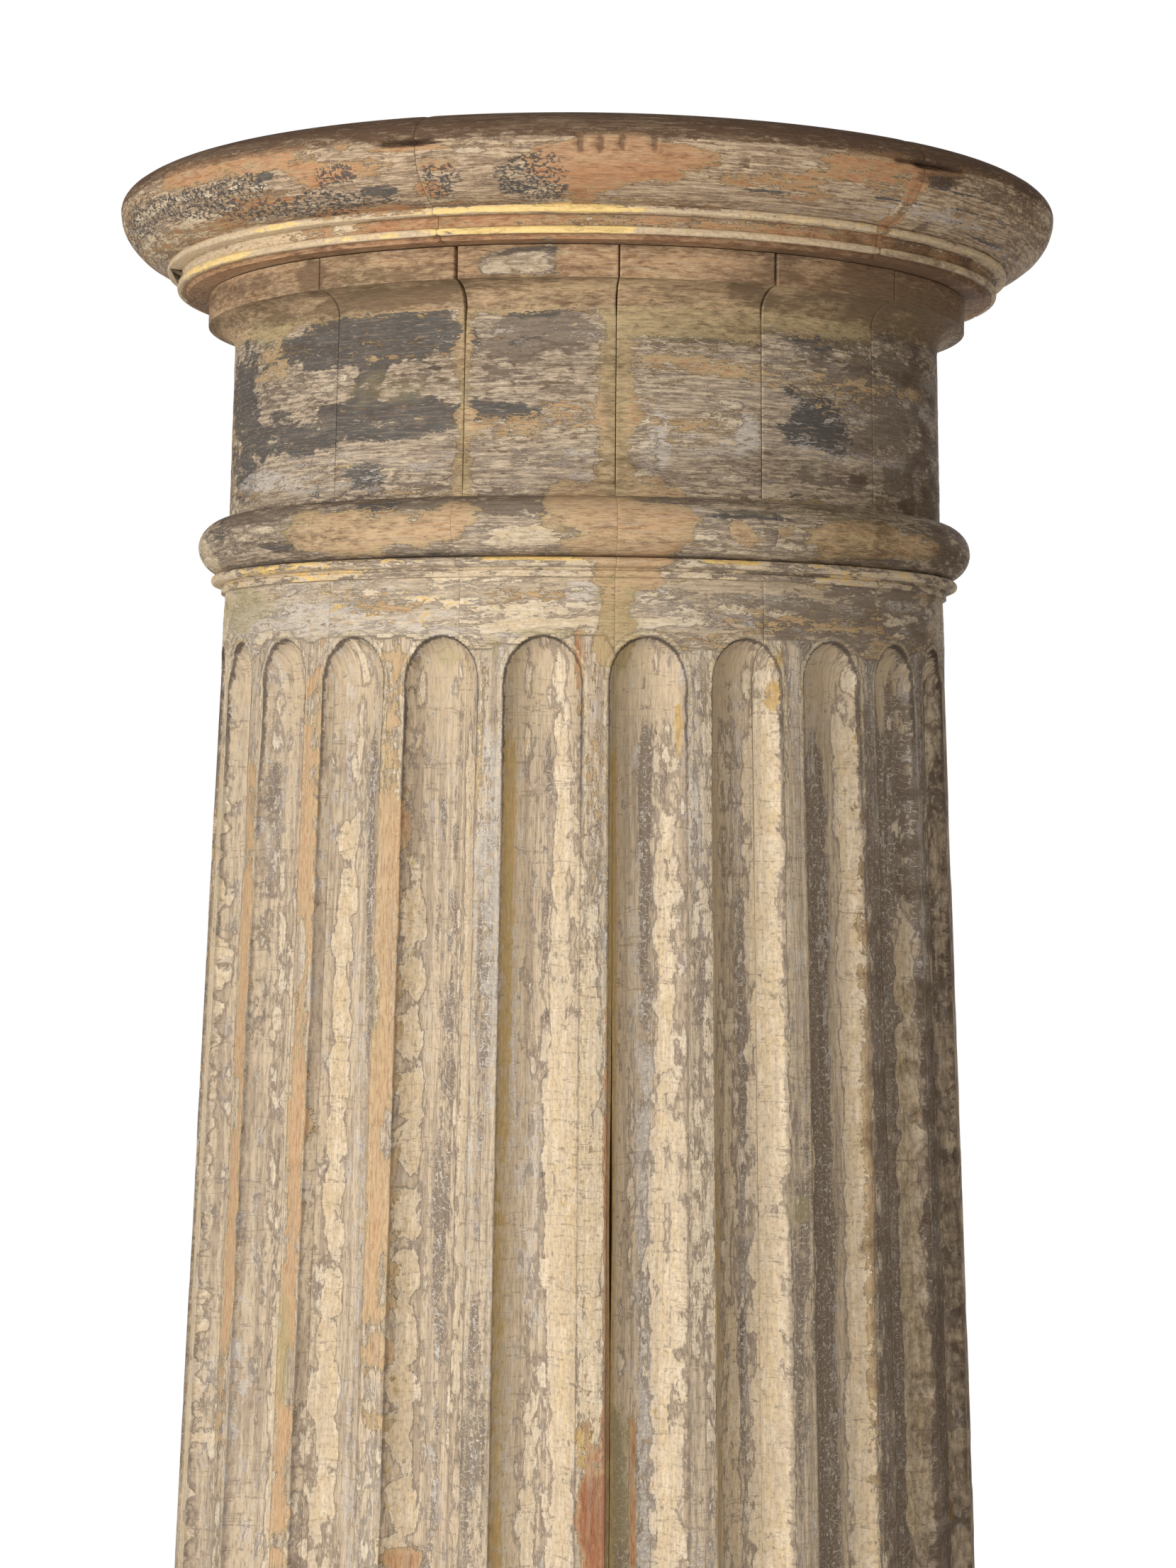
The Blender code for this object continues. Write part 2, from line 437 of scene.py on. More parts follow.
ZONE_COATS: dict[Zone, dict[Layer, Coat]] = {
    Zone.HIDDEN: {Layer.BARE: Coat(0.9), Layer.RUST: Coat(0.3, 0.4), Layer.GRIME_AND_SHADE: Coat(0.5, 0.3)},
    # The grime on the fillet and the cavetto, just under the cap ring, is painted shade.
    Zone.FILLET: {Layer.BARE: Coat(0.95), Layer.RUST: Coat(0.50, 0.5), Layer.GRIME_AND_SHADE: Coat(0.72, 0.5)},
    Zone.CAVETTO: {
        Layer.BARE: Coat(0.95, 0.2), Layer.RUST: Coat(0.10, 0.5), Layer.GREEN: Coat(0.40, 0.5),
        Layer.GRIME_AND_SHADE: Coat(0.62, 0.5)},
    Zone.NECK: {
        Layer.DARK: Coat(0.16, 0.5), Layer.SLATE: Coat(0.04, 0.6), Layer.PAINT: Coat(-0.10, 0.5),
        Layer.PALE: Coat(0.10, 0.5), Layer.RUST: Coat(0.35, 0.6), Layer.BARE: Coat(0.14, 0.6),
        Layer.GRIME_AND_SHADE: Coat(0.26, 0.4)},
    Zone.TORUS: {
        Layer.DARK: Coat(0.35, 0.6), Layer.SLATE: Coat(0.10, 0.6), Layer.PAINT: Coat(0.05, 0.7),
        Layer.PALE: Coat(0.12, 0.5), Layer.RUST: Coat(0.40, 0.6), Layer.GREEN: Coat(0.20, 0.4),
        Layer.GRIME_AND_SHADE: Coat(0.24, 0.4)},
    Zone.BEAD: {
        Layer.PAINT: Coat(0.55, 0.7), Layer.DARK: Coat(0.4, 0.8), Layer.YELLOW: Coat(0.1, 0.6),
        Layer.RUST: Coat(0.5, 0.5)},
    Zone.BAND: {
        Layer.PAINT: Coat(0.20, 0.6), Layer.DARK: Coat(0.02, 0.5), Layer.RUST: Coat(0.35, 0.6),
        Layer.PALE: Coat(0.28, 0.6), Layer.BARE: Coat(0.18, 0.6)},
    Zone.RIB: {
        Layer.PAINT: Coat(0.12, 0.6), Layer.DARK: Coat(0.20, 0.6), Layer.RUST: Coat(0.4, 0.5),
        Layer.PALE: Coat(0.16, 0.5), Layer.BARE: Coat(0.12, 0.5)},
    Zone.FLUTE: {
        Layer.PAINT: Coat(0.05, 0.7), Layer.DARK: Coat(0.02, 0.7), Layer.RUST: Coat(0.1, 0.5),
        Layer.PALE: Coat(0.10, 0.5), Layer.YELLOW: Coat(-0.15, 0.5)},
    Zone.CAP_TOP: {Layer.DARK: Coat(0.7, 0.6), Layer.GRIME_AND_SHADE: Coat(0.45, 0.5)},
    Zone.CAP_EDGE: {
        Layer.DARK: Coat(0.45, 0.6), Layer.BARE: Coat(0.45, 0.6), Layer.RUST: Coat(0.5, 0.4),
        Layer.GRIME_AND_SHADE: Coat(0.50, 0.4)},
    Zone.CAP_FACE: {
        Layer.DARK: Coat(0.15, 0.6), Layer.PAINT: Coat(-0.02, 0.6), Layer.RUST: Coat(0.75, 0.5),
        Layer.PALE: Coat(0.15, 0.6), Layer.BARE: Coat(0.28, 0.6), Layer.GRIME_AND_SHADE: Coat(0.1, 0.3)},
    Zone.CAP_BEAD: {
        Layer.PAINT: Coat(0.70, 0.7), Layer.DARK: Coat(0.4, 0.7), Layer.YELLOW: Coat(0.05, 0.5),
        Layer.RUST: Coat(0.7, 0.5)},
    Zone.CAP_GROOVE: {
        Layer.PAINT: Coat(0.15, 0.6), Layer.DARK: Coat(0.4, 0.7), Layer.RUST: Coat(0.8, 0.5),
        Layer.BARE: Coat(0.62, 0.6), Layer.GRIME_AND_SHADE: Coat(0.2, 0.4)},
    Zone.CAP_LIP: {Layer.BARE: Coat(0.9), Layer.RUST: Coat(0.6, 0.4), Layer.GRIME_AND_SHADE: Coat(0.5, 0.4)},
}

NECK_PATCHES = patches({
    Layer.SLATE: (
        (-35.8, 2.32, 17.5, 0.016, 1.0), (-29.7, 2.3316, 11.7, 0.0064, 0.5),
        (-9.2, 2.3345, 5.8, 0.0036, 0.8), (-30.2, 2.2736, 12.8, 0.011, 0.85),
        (-10.7, 2.2742, 7.6, 0.0046, 0.85), (-55.8, 2.2696, 14.5, 0.013, 0.85),
        (-34.5, 2.2961, 3.0, 0.017, 0.8), (-70.9, 2.2788, 7.9, 0.0516, 0.8),
        (-34.5, 2.2398, 3.7, 0.0073, 0.65), (18.1, 2.3178, 9.8, 0.003, 0.65),
        (36.2, 2.3219, 5.2, 0.004, 0.65), (37.4, 2.2758, 6.2, 0.019, 0.9, 4.0),
        (-10.0, 2.323, 6.5, 0.009, 0.35)),
    # The broad dark patches at 45 and 66 degrees darken the neck's right side, where the light falls off:
    # painted shade.
    Layer.DARK: (
        (45.0, 2.285, 14.0, 0.05, 0.3), (66.0, 2.285, 14.0, 0.06, 0.25),
        (-9.0, 2.318, 7.5, 0.016, 0.6), (-7.0, 2.28, 7.0, 0.035, 0.25), (-45.0, 2.285, 25.0, 0.05, 0.25)),
    # The broad grime patch at 62 degrees also darkens the neck's right side: painted shade.
    Layer.GRIME_AND_SHADE: ((62.0, 2.285, 22.0, 0.06, 0.1),),
    Layer.GREEN: ((-31.0, 2.29, 7.5, 0.01, 0.5), (-58.0, 2.335, 6.0, 0.01, 0.6)),
    Layer.PAINT: (
        (-31.0, 2.29, 7.0, 0.007, 0.4), (-41.0, 2.2966, 4.0, 0.008, 0.45),
        (8.7, 2.2641, 2.6, 0.017, 0.65), (20.7, 2.2731, 3.0, 0.01, 0.6), (21.6, 2.2386, 4.0, 0.0074, 0.5)),
    Layer.BARE: (
        (-58.0, 2.33, 3.5, 0.01, 0.6), (-58.6, 2.31, 7.0, 0.01, 0.45),
        (-12.0, 2.262, 6.0, 0.005, 0.45), (17.0, 2.3027, 8.0, 0.006, 0.45)),
    Layer.PALE: (
        (10.5, 2.262, 2.0, 0.02, 0.8), (24.5, 2.265, 1.6, 0.012, 0.7),
        (-62.0, 2.24, 9.0, 0.006, 0.5)),
})

TORUS_PATCHES = patches({
    Layer.BARE: (
        (-35.5, 2.2045, 11.0, 0.012, 1.0), (-19.5, 2.2065, 5.5, 0.011, 1.0),
        (6.0, 2.207, 8.8, 0.019, 1.1, 4.0), (21.5, 2.205, 1.8, 0.0065, 0.8),
        (44.5, 2.203, 14.5, 0.0105, 1.0), (5.8, 2.182, 4.6, 0.01, 1.2, 4.0)),
    Layer.GREEN: ((44.5, 2.201, 15.0, 0.012, 0.35), (-45.0, 2.206, 4.0, 0.01, 0.4)),
    Layer.RUST: ((-20.5, 2.208, 4.5, 0.007, 0.4), (6.0, 2.208, 6.0, 0.01, 0.3)),
    Layer.SLATE: (
        (-29.5, 2.2175, 3.5, 0.003, 0.8), (22.0, 2.2145, 8.0, 0.0035, 0.75),
        (51.0, 2.1915, 9.0, 0.003, 0.75), (-48.0, 2.198, 5.0, 0.003, 0.6)),
    Layer.DARK: ((-58.0, 2.21, 10.0, 0.012, 0.25), (-5.0, 2.216, 8.0, 0.005, 0.5)),
    Layer.PAINT: ((-8.0, 2.199, 5.0, 0.006, 0.6),),
    Layer.YELLOW: ((-6.0, 2.1868, 6.5, 0.0012, 0.8), (21.0, 2.1862, 5.0, 0.0012, 0.8)),
})

BAND_PATCHES = patches({
    Layer.BARE: (
        (4.4, 2.156, 2.3, 0.03, 1.2, 6.0), (-30.0, 2.164, 7.0, 0.008, 0.3),
        (-8.0, 2.166, 7.0, 0.006, 0.45)),
    Layer.GREEN: (
        (4.4, 2.148, 3.0, 0.033, 0.9, 6.0), (-66.0, 2.164, 12.0, 0.014, 0.9),
        (-5.0, 2.144, 4.5, 0.0025, 0.8), (-20.7, 2.1337, 1.6, 0.01, 0.7), (-13.0, 2.1337, 1.2, 0.008, 0.6)),
    # The broad dark patch at 52 degrees darkens the band's right side, where the light falls off: painted
    # shade.
    Layer.DARK: (
        (-36.0, 2.164, 6.0, 0.007, 0.6), (24.0, 2.16, 14.0, 0.012, 0.5),
        (52.0, 2.16, 20.0, 0.02, 0.6)),
    Layer.SLATE: ((-53.5, 2.1573, 4.0, 0.004, 0.65),),
    Layer.PAINT: ((-9.0, 2.148, 5.0, 0.003, 0.4), (14.0, 2.168, 6.0, 0.003, 0.35)),
    Layer.YELLOW: ((-30.0, 2.16, 14.0, 0.012, 0.3),),
    Layer.PALE: (
        (0.0, 2.169, 2.2, 0.007, 0.8), (9.0, 2.17, 3.0, 0.003, 0.8),
        (-21.4, 2.1442, 5.0, 0.0032, 0.6)),
})

# Rows of cream slabs down the ribs: angle, sway, beat, top, pitch, count, then the form of each slab
SLABS = tuple(
    Patch(Layer.PAINT, angle + sway * math.sin(beat * n), top - pitch * n, *form)
    for angle, sway, beat, top, pitch, count, form in (
        (-24.8, 0.35, 2.1, 1.975, 0.0345, 12, (1.2, 0.0145, 1.2, 3.0, 28.0)),
        (-38.2, 0.3, 1.7, 2.02, 0.03, 14, (1.1, 0.0125, 0.9, 4.0)),
        (-62.5, 0.5, 1.3, 1.99, 0.033, 12, (1.8, 0.015, 0.8, 4.0)),
        (58.3, 0.2, 1.9, 1.945, 0.064, 6, (1.1, 0.027, 1.1, 4.0)))
    for n in range(count))

RIB_PATCHES = SLABS + patches({
    # The broad dark patch at 68 degrees darkens the shaft's right side, where the light falls off: painted
    # shade.
    Layer.DARK: (
        (46.8, 1.8, 2.2, 0.38, 0.75, 8.0), (53.0, 1.8, 3.8, 0.38, 0.6, 8.0),
        (61.2, 1.8, 1.6, 0.38, 0.7, 8.0), (68.0, 1.8, 7.0, 0.4, 0.55, 8.0),
        (36.5, 1.8, 3.0, 0.4, 0.35, 8.0), (16.8, 2.0, 1.4, 0.1, 0.35, 8.0),
        (3.0, 2.02, 1.0, 0.08, 0.45, 8.0), (24.3, 1.64, 3.5, 0.07, -0.45, 4.0),
        (-13.2, 1.82, 2.0, 0.24, 0.26, 8.0), (6.0, 1.636, 1.5, 0.046, 0.8, 8.0)),
    # The broad grime patches at 60 and 70 degrees also darken the shaft's right side: painted shade.
    Layer.GRIME_AND_SHADE: (
        (47.5, 1.78, 2.6, 0.36, 0.4, 8.0), (70.0, 1.8, 9.0, 0.4, 0.45, 8.0),
        (60.0, 1.72, 12.0, 0.22, 0.34, 4.0)),
    Layer.PAINT: (
        (-78.0, 1.8, 6.0, 0.4, 0.5, 8.0), (-31.1, 1.82, 0.5, 0.13, 0.7, 8.0),
        (1.2, 1.86, 1.8, 0.17, 0.55, 8.0), (-13.2, 1.82, 2.0, 0.24, -0.7, 8.0),
        (-15.9, 1.94, 0.5, 0.06, 0.9, 8.0), (-73.2, 1.8, 2.0, 0.4, 0.5, 12.0)),
    Layer.BARE: (
        (44.8, 1.8, 0.4, 0.2, 0.6, 8.0), (-16.0, 2.08, 2.6, 0.04, 0.25, 4.0),
        (-28.1, 1.882, 2.1, 0.182, 0.95, 12.0), (-26.9, 1.85, 0.8, 0.016, -0.9),
        (-29.4, 1.935, 0.8, 0.022, -0.8), (-27.0, 1.765, 0.7, 0.018, -0.7),
        (-43.2, 1.82, 1.5, 0.24, 0.75, 12.0), (-43.8, 1.95, 1.0, 0.02, -0.7),
        (-42.4, 1.855, 1.8, 0.022, 0.6), (-42.6, 1.7, 0.9, 0.018, -0.7),
        (-44.6, 2.05, 1.2, 0.06, 0.8, 4.0), (-58.2, 1.89, 1.6, 0.2, 0.8, 12.0),
        (-58.6, 1.86, 1.2, 0.018, -0.7), (2.4, 1.632, 1.9, 0.04, 1.0), (4.0, 1.77, 0.7, 0.15, 0.8, 6.0),
        (7.9, 1.636, 0.5, 0.046, 0.9, 8.0), (-24.1, 1.594, 1.6, 0.01, 1.2, 8.0),
        (-0.5, 2.125, 0.8, 0.025, 0.7)),
    Layer.GREEN: (
        (31.4, 1.8029, 1.8, 0.0084, 0.9), (5.8, 1.6438, 1.6, 0.0414, 1.0, 6.0),
        (-28.6, 1.9, 1.6, 0.03, 0.4), (-44.0, 1.718, 1.6, 0.03, 1.0)),
    Layer.PALE: (
        (24.0, 1.9, 1.2, 0.2, 0.3, 8.0), (9.8, 1.84, 1.0, 0.05, 0.4, 8.0),
        (11.0, 1.66, 1.5, 0.06, 0.5, 8.0), (-11.0, 1.99, 1.5, 0.12, 0.35, 8.0),
        (-13.2, 2.03, 1.4, 0.06, 0.4, 8.0), (16.8, 2.03, 1.4, 0.06, 0.4, 8.0),
        (9.6, 1.74, 1.4, 0.25, 0.3, 8.0), (-34.5, 1.82, 1.5, 0.3, 0.3, 8.0),
        (-49.0, 1.8, 3.0, 0.35, 0.28, 8.0)),
    Layer.SLATE: (
        (24.6, 1.735, 0.8, 0.022, 0.55), (-4.8, 1.901, 1.2, 0.02, 0.55),
        (-4.6, 1.83, 1.4, 0.018, 0.55)),
    Layer.RUST: (
        (2.0, 1.635, 2.2, 0.04, 1.0), (4.0, 1.77, 0.7, 0.15, 0.8, 6.0),
        (7.9, 1.636, 0.5, 0.046, 0.9, 8.0), (-24.1, 1.594, 1.6, 0.01, 0.8, 8.0),
        (-1.0, 2.115, 1.0, 0.04, 0.9)),
    Layer.YELLOW: (
        (1.0, 1.677, 0.9, 0.006, 1.2), (0.8, 1.664, 0.7, 0.005, 1.2),
        (14.2, 2.087, 0.6, 0.018, 0.9), (29.2, 2.11, 0.9, 0.02, 0.9), (72.0, 1.64, 1.6, 0.06, 0.7)),
})

FILLET_PATCHES = patches({
    Layer.BARE: ((-8.5, 2.359, 4.6, 0.009, -0.9),),
    Layer.PAINT: ((-8.5, 2.356, 4.0, 0.007, 0.8),),
    Layer.SLATE: ((-8.0, 2.365, 3.6, 0.003, 0.9),),
    Layer.GREEN: ((-33.0, 2.356, 5.0, 0.01, 0.5),),
    # The broad grime patch at 58 degrees darkens the fillet's right side, where the light falls off: painted
    # shade.
    Layer.GRIME_AND_SHADE: (
        (28.0, 2.36, 3.0, 0.01, 0.3), (58.0, 2.358, 26.0, 0.02, 0.5),
        (-42.0, 2.36, 2.0, 0.01, 0.4), (25.0, 2.344, 4.0, 0.006, 0.4), (-30.0, 2.344, 12.0, 0.004, 0.3)),
})

# Upright saw marks on the ring: angle and level
SAW_MARKS = ((-0.7, 2.4165), (1.4, 2.4155), (3.8, 2.416), (7.2, 2.4165), (17.7, 2.4085))

CAP_PATCHES = patches({
    Layer.NET: (
        (-69.0, 2.404, 16.0, 0.009, 0.85), (-47.3, 2.4043, 9.2, 0.0075, 0.8),
        (-37.1, 2.393, 12.0, 0.005, 0.8), (-28.7, 2.4061, 2.9, 0.0062, 0.75),
        (-16.6, 2.3984, 2.2, 0.0092, 0.9), (-6.6, 2.399, 3.7, 0.0111, 0.85)),
    Layer.SLATE: (
        (-39.1, 2.409, 1.8, 0.0032, 0.8), (-24.5, 2.3956, 2.2, 0.0025, 0.8),
        (-7.9, 2.3943, 2.5, 0.0041, 0.5), (43.3, 2.4136, 2.3, 0.0049, 0.7),
        (20.0, 2.3958, 4.0, 0.001, 0.8), (39.2, 2.3987, 4.5, 0.0008, 0.8),
        (52.7, 2.4084, 7.6, 0.0009, 0.7), (55.7, 2.4004, 8.6, 0.0009, 0.7),
        (61.0, 2.3904, 7.6, 0.0009, 0.7), (49.0, 2.3944, 4.0, 0.0008, 0.6),
        (-19.3, 2.4188, 3.0, 0.0013, 1.3), (42.0, 2.4203, 3.4, 0.0013, 1.3)),
    Layer.BARE: (
        (-46.0, 2.418, 15.0, 0.0065, 0.85), (-29.8, 2.4075, 7.9, 0.0055, 0.9),
        (-17.8, 2.3954, 2.2, 0.0035, 0.8), (-17.0, 2.406, 2.4, 0.004, 0.7), (4.2, 2.407, 9.0, 0.013, 1.0),
        (20.9, 2.4, 9.3, 0.0062, 0.55), (33.4, 2.413, 6.2, 0.0092, 0.5),
        (-28.8, 2.3859, 8.9, 0.0021, 0.5), (40.1, 2.395, 1.2, 0.015, 0.6, 4.0),
        (-56.0, 2.38, 25.0, 0.0045, -0.6, 4.0), (-19.3, 2.4165, 4.0, 0.0022, 0.6),
        (42.0, 2.4178, 4.4, 0.0022, 0.5)),
    Layer.PAINT: (
        (-70.0, 2.392, 15.0, 0.005, 0.45), (39.4, 2.395, 0.6, 0.015, 0.7, 4.0),
        (-14.0, 2.414, 5.0, 0.0035, 0.45), (19.0, 2.412, 7.0, 0.002, 0.45),
        (-55.0, 2.39, 14.0, 0.006, 0.35), (-56.0, 2.38, 25.0, 0.0045, 0.65, 4.0),
        (-56.0, 2.373, 25.0, 0.003, 0.5, 4.0), (1.3, 2.38, 4.0, 0.0016, 0.7),
        (21.4, 2.3803, 3.0, 0.0014, 0.7)),
    # The broad dark patch at 66 degrees darkens the ring's right side, where the light falls off: painted
    # shade.
    Layer.DARK: ((66.0, 2.405, 20.0, 0.025, 0.22), (-56.0, 2.38, 25.0, 0.006, -0.25, 4.0)),
    Layer.GRIME_AND_SHADE: (
        (-56.0, 2.371, 25.0, 0.004, -0.3, 4.0), (24.5, 2.4277, 4.0, 0.005, 0.7),
        (-19.3, 2.4188, 3.4, 0.0012, 1.6), (42.0, 2.4203, 3.8, 0.0012, 1.6),
        *((angle, level, 0.3, 0.004, 0.7) for angle, level in SAW_MARKS),
        (43.5, 2.418, 3.5, 0.007, 0.6), (64.0, 2.418, 4.0, 0.007, 0.5)),
    Layer.YELLOW: (
        (-7.0, 2.3853, 13.0, 0.002, 0.9, 6.0), (-8.0, 2.3743, 12.5, 0.0024, 0.9, 6.0),
        (-60.0, 2.3743, 12.0, 0.0024, 0.9, 4.0), (-31.0, 2.3743, 8.0, 0.002, 0.5),
        (-42.0, 2.3853, 5.0, 0.0018, 0.6)),
})


@dataclass(frozen=True)
class FluteWear:
    """Where a flute is dark and where its cream paint stays, as shares of its half width from its centre."""

    dark_at: float = 0.0
    dark_half: float = 0.32
    dark: float = 0.45
    paint_at: float = 0.58
    paint_half: float = 0.30
    paint: float = 0.55
    ochre: float = 0.45


FLUTE_WEAR: dict[int, FluteWear] = {
    -4: FluteWear(0.5, 0.25, 0.25, 0.0, 0.45, 0.75, 0.1),
    -3: FluteWear(0.55, 0.20, 0.40, 0.0, 0.40, 0.62, 0.0),
    -2: FluteWear(0.30, 0.22, 0.50, -0.60, 0.30, 0.45, 0.0),
    -1: FluteWear(-0.05, 0.30, 0.42, 0.75, 0.18, 0.60, 0.1),
    0: FluteWear(0.15, 0.20, 0.50, 0.40, 0.60, 0.78, 0.85),
    1: FluteWear(0.06, 0.26, 0.90, 0.55, 0.42, 0.72, 0.95),
    2: FluteWear(0.04, 0.18, 0.55, 0.35, 0.80, 0.90, 0.55),
    3: FluteWear(0.06, 0.40, 0.95, 0.80, 0.24, 0.95, 0.35),
    4: FluteWear(-0.05, 0.55, 1.10, 0.80, 0.16, 0.50, 0.1),
    5: FluteWear(-0.20, 0.60, 0.90, 0.60, 0.20, 0.40, 0.5),
}


@dataclass
class Surface:
    """Points of a piece's surface with what the weathering needs to know of each."""

    angle: Array
    z: Array
    run: Array
    zone: Array
    across: Array
    arris: Array
    flute: Array

    def on(self, *zones: Zone) -> Array:
        """Where the points lie in any of the zones."""
        return np.isin(self.zone, [zone.value for zone in zones])

    @property
    def on_shaft(self) -> Array:
        """Where the points lie on the fluted shaft."""
        return self.on(Zone.RIB, Zone.FLUTE)


@dataclass
class Weathering:
    """Lays the layers over a surface: noise for each zone, and the patches that the column shows, with broad
    painted shade on its right side.
    """

    seed: int = 11
    patches: tuple[Patch, ...] = (
        NECK_PATCHES + TORUS_PATCHES + BAND_PATCHES + RIB_PATCHES + FILLET_PATCHES + CAP_PATCHES)
    upright: tuple[tuple[float, float], ...] = ((0.014, 0.300), (0.006, 0.120), (0.004, 0.020))
    level: tuple[tuple[float, float], ...] = ((0.200, 0.026), (0.060, 0.008), (0.018, 0.004))
    shares: tuple[float, ...] = (0.5, 0.35, 0.25)
    worn_from: float = 2.105
    worn_over: float = 0.035
    left_wall: float = -0.66
    left_wall_over: float = 0.12
    stave_count: int = 16
    first_joint: float = 4.5
    neck_radius: float = 0.23
    neck_top: float = 2.3361
    coat_edge: float = 0.006
    cap_dirt_from: float = 2.4190
    cap_dirt_over: float = 0.010

    def noise(self, layer: Layer, surface: Surface) -> Array:
        """Streaky noise of one layer: upright on the shaft, level on the mouldings and the cap.

        Args:
            layer: The layer, which sets the seed.
            surface: The points.

        Returns:
            A value for each point.
        """
        seed = self.seed + 31 * list(Layer).index(layer)
        upright = np.zeros(surface.angle.shape)
        level = np.zeros(surface.angle.shape)
        for step, share in enumerate(self.shares):
            upright += share * Noise(seed + step, *self.upright[step]).at(surface.angle, surface.z)
            level += share * Noise(seed + 5 + step, *self.level[step]).at(surface.angle, surface.run)
        return np.where(surface.on_shaft, upright, level)

    def fields(self, surface: Surface) -> dict[Layer, Array]:
        """Every layer's field over a surface.

        Args:
            surface: The points.

        Returns:
            A field for each layer: the layer shows where its field is over a half.
        """
        ragged = Noise(self.seed + 900, 0.020, 0.010).at(surface.angle, surface.z)
        result = {}
        for layer in Layer:
            noise = self.noise(layer, surface)
            total = np.zeros(surface.angle.shape)
            for zone, coats in ZONE_COATS.items():
                coat = coats.get(layer, Coat(0.0))
                total = np.where(surface.zone == zone.value, coat.level + coat.spread * noise, total)
            for patch in self.patches:
                if patch.layer is layer:
                    total += patch.weight(surface.angle, surface.z, ragged)
            result[layer] = total
        self.wear_flutes(surface, result)
        self.strip_joints(surface, result)
        self.darken_cap(surface, result)
        return result

    def wear_flutes(self, surface: Surface, fields: dict[Layer, Array]) -> None:
        """Wears each flute in upright bands: dark in the middle, cream to the right, ochre on the left wall.

        Args:
            surface: The points.
            fields: The layers' fields, changed in place.
        """
        inside = surface.on(Zone.FLUTE).astype(float)
        low = np.clip((self.worn_from - surface.z) / self.worn_over, 0.0, 1.0)
        for number in np.unique(surface.flute):
            wear = FLUTE_WEAR.get(int(number), FluteWear())
            here = inside * (surface.flute == number)
            dark = np.exp(-((surface.across - wear.dark_at) / wear.dark_half) ** 2)
            paint = np.exp(-((surface.across - wear.paint_at) / wear.paint_half) ** 2)
            wall = np.clip((self.left_wall - surface.across) / self.left_wall_over, 0.0, 1.0)
            fields[Layer.DARK] += here * (low * wear.dark * dark - 0.25 * (1.0 - low))
            fields[Layer.PAINT] += here * (
                wear.paint * paint * (0.35 + 0.65 * low) - 1.1 * wear.ochre * wall - 0.5 * low * dark)
            fields[Layer.YELLOW] += here * low * wear.ochre * wall
            fields[Layer.GREEN] += here * 0.60 * wear.ochre * wall

    def strip_joints(self, surface: Surface, fields: dict[Layer, Array]) -> None:
        """Leaves a stripped margin round each stave's old coats on the neck, with rounded corners.

        Args:
            surface: The points.
            fields: The layers' fields, changed in place.
        """
        pitch = 360.0 / self.stave_count
        place = (surface.angle - self.first_joint) % pitch
        stave = np.round((surface.angle - self.first_joint - place) / pitch).astype(int) % self.stave_count
        top_margin = np.select([stave == 0, stave == 1, stave == 14], [0.019, 0.011, 0.0], 0.002)
        left_margin = np.select([stave == 0, stave == 15], [0.0085, 0.0035], -0.008)
        right_margin = np.select([stave == 15, stave == 14], [0.0085, 0.0035], -0.008)
        metre = math.radians(1.0) * self.neck_radius
        left = (left_margin - place * metre) / self.coat_edge
        right = (right_margin - (pitch - place) * metre) / self.coat_edge
        top = (top_margin - (self.neck_top - surface.z)) / self.coat_edge
        side = np.maximum(np.maximum(left, right) + 1.0, 0.0)
        out = np.hypot(side, np.maximum(top + 1.0, 0.0)) - 1.0
        ragged = Noise(self.seed + 77, 0.030, 0.020).at(surface.angle, surface.z)
        bare = 0.5 + 0.5 * np.clip(out + 0.35 * ragged, -1.0, 1.0)
        here = surface.on(Zone.NECK)
        shares = {Layer.BARE: 1.0, Layer.GREEN: 0.85, Layer.RUST: -0.45, Layer.GRIME_AND_SHADE: 0.16}
        for layer, share in shares.items():
            fields[layer] += np.where(here, share * bare, 0.0)

    def darken_cap(self, surface: Surface, fields: dict[Layer, Array]) -> None:
        """Darkens the cap's upper edge, where rain and dust lay.

        Args:
            surface: The points.
            fields: The layers' fields, changed in place.
        """
        on_cap = surface.on(Zone.CAP_EDGE, Zone.CAP_FACE)
        high = np.clip((surface.z - self.cap_dirt_from) / self.cap_dirt_over, 0.0, 1.0)
        fields[Layer.GRIME_AND_SHADE] += np.where(on_cap, 0.60 * high, 0.0)
        fields[Layer.BARE] -= np.where(on_cap, 0.25 * high, 0.0)


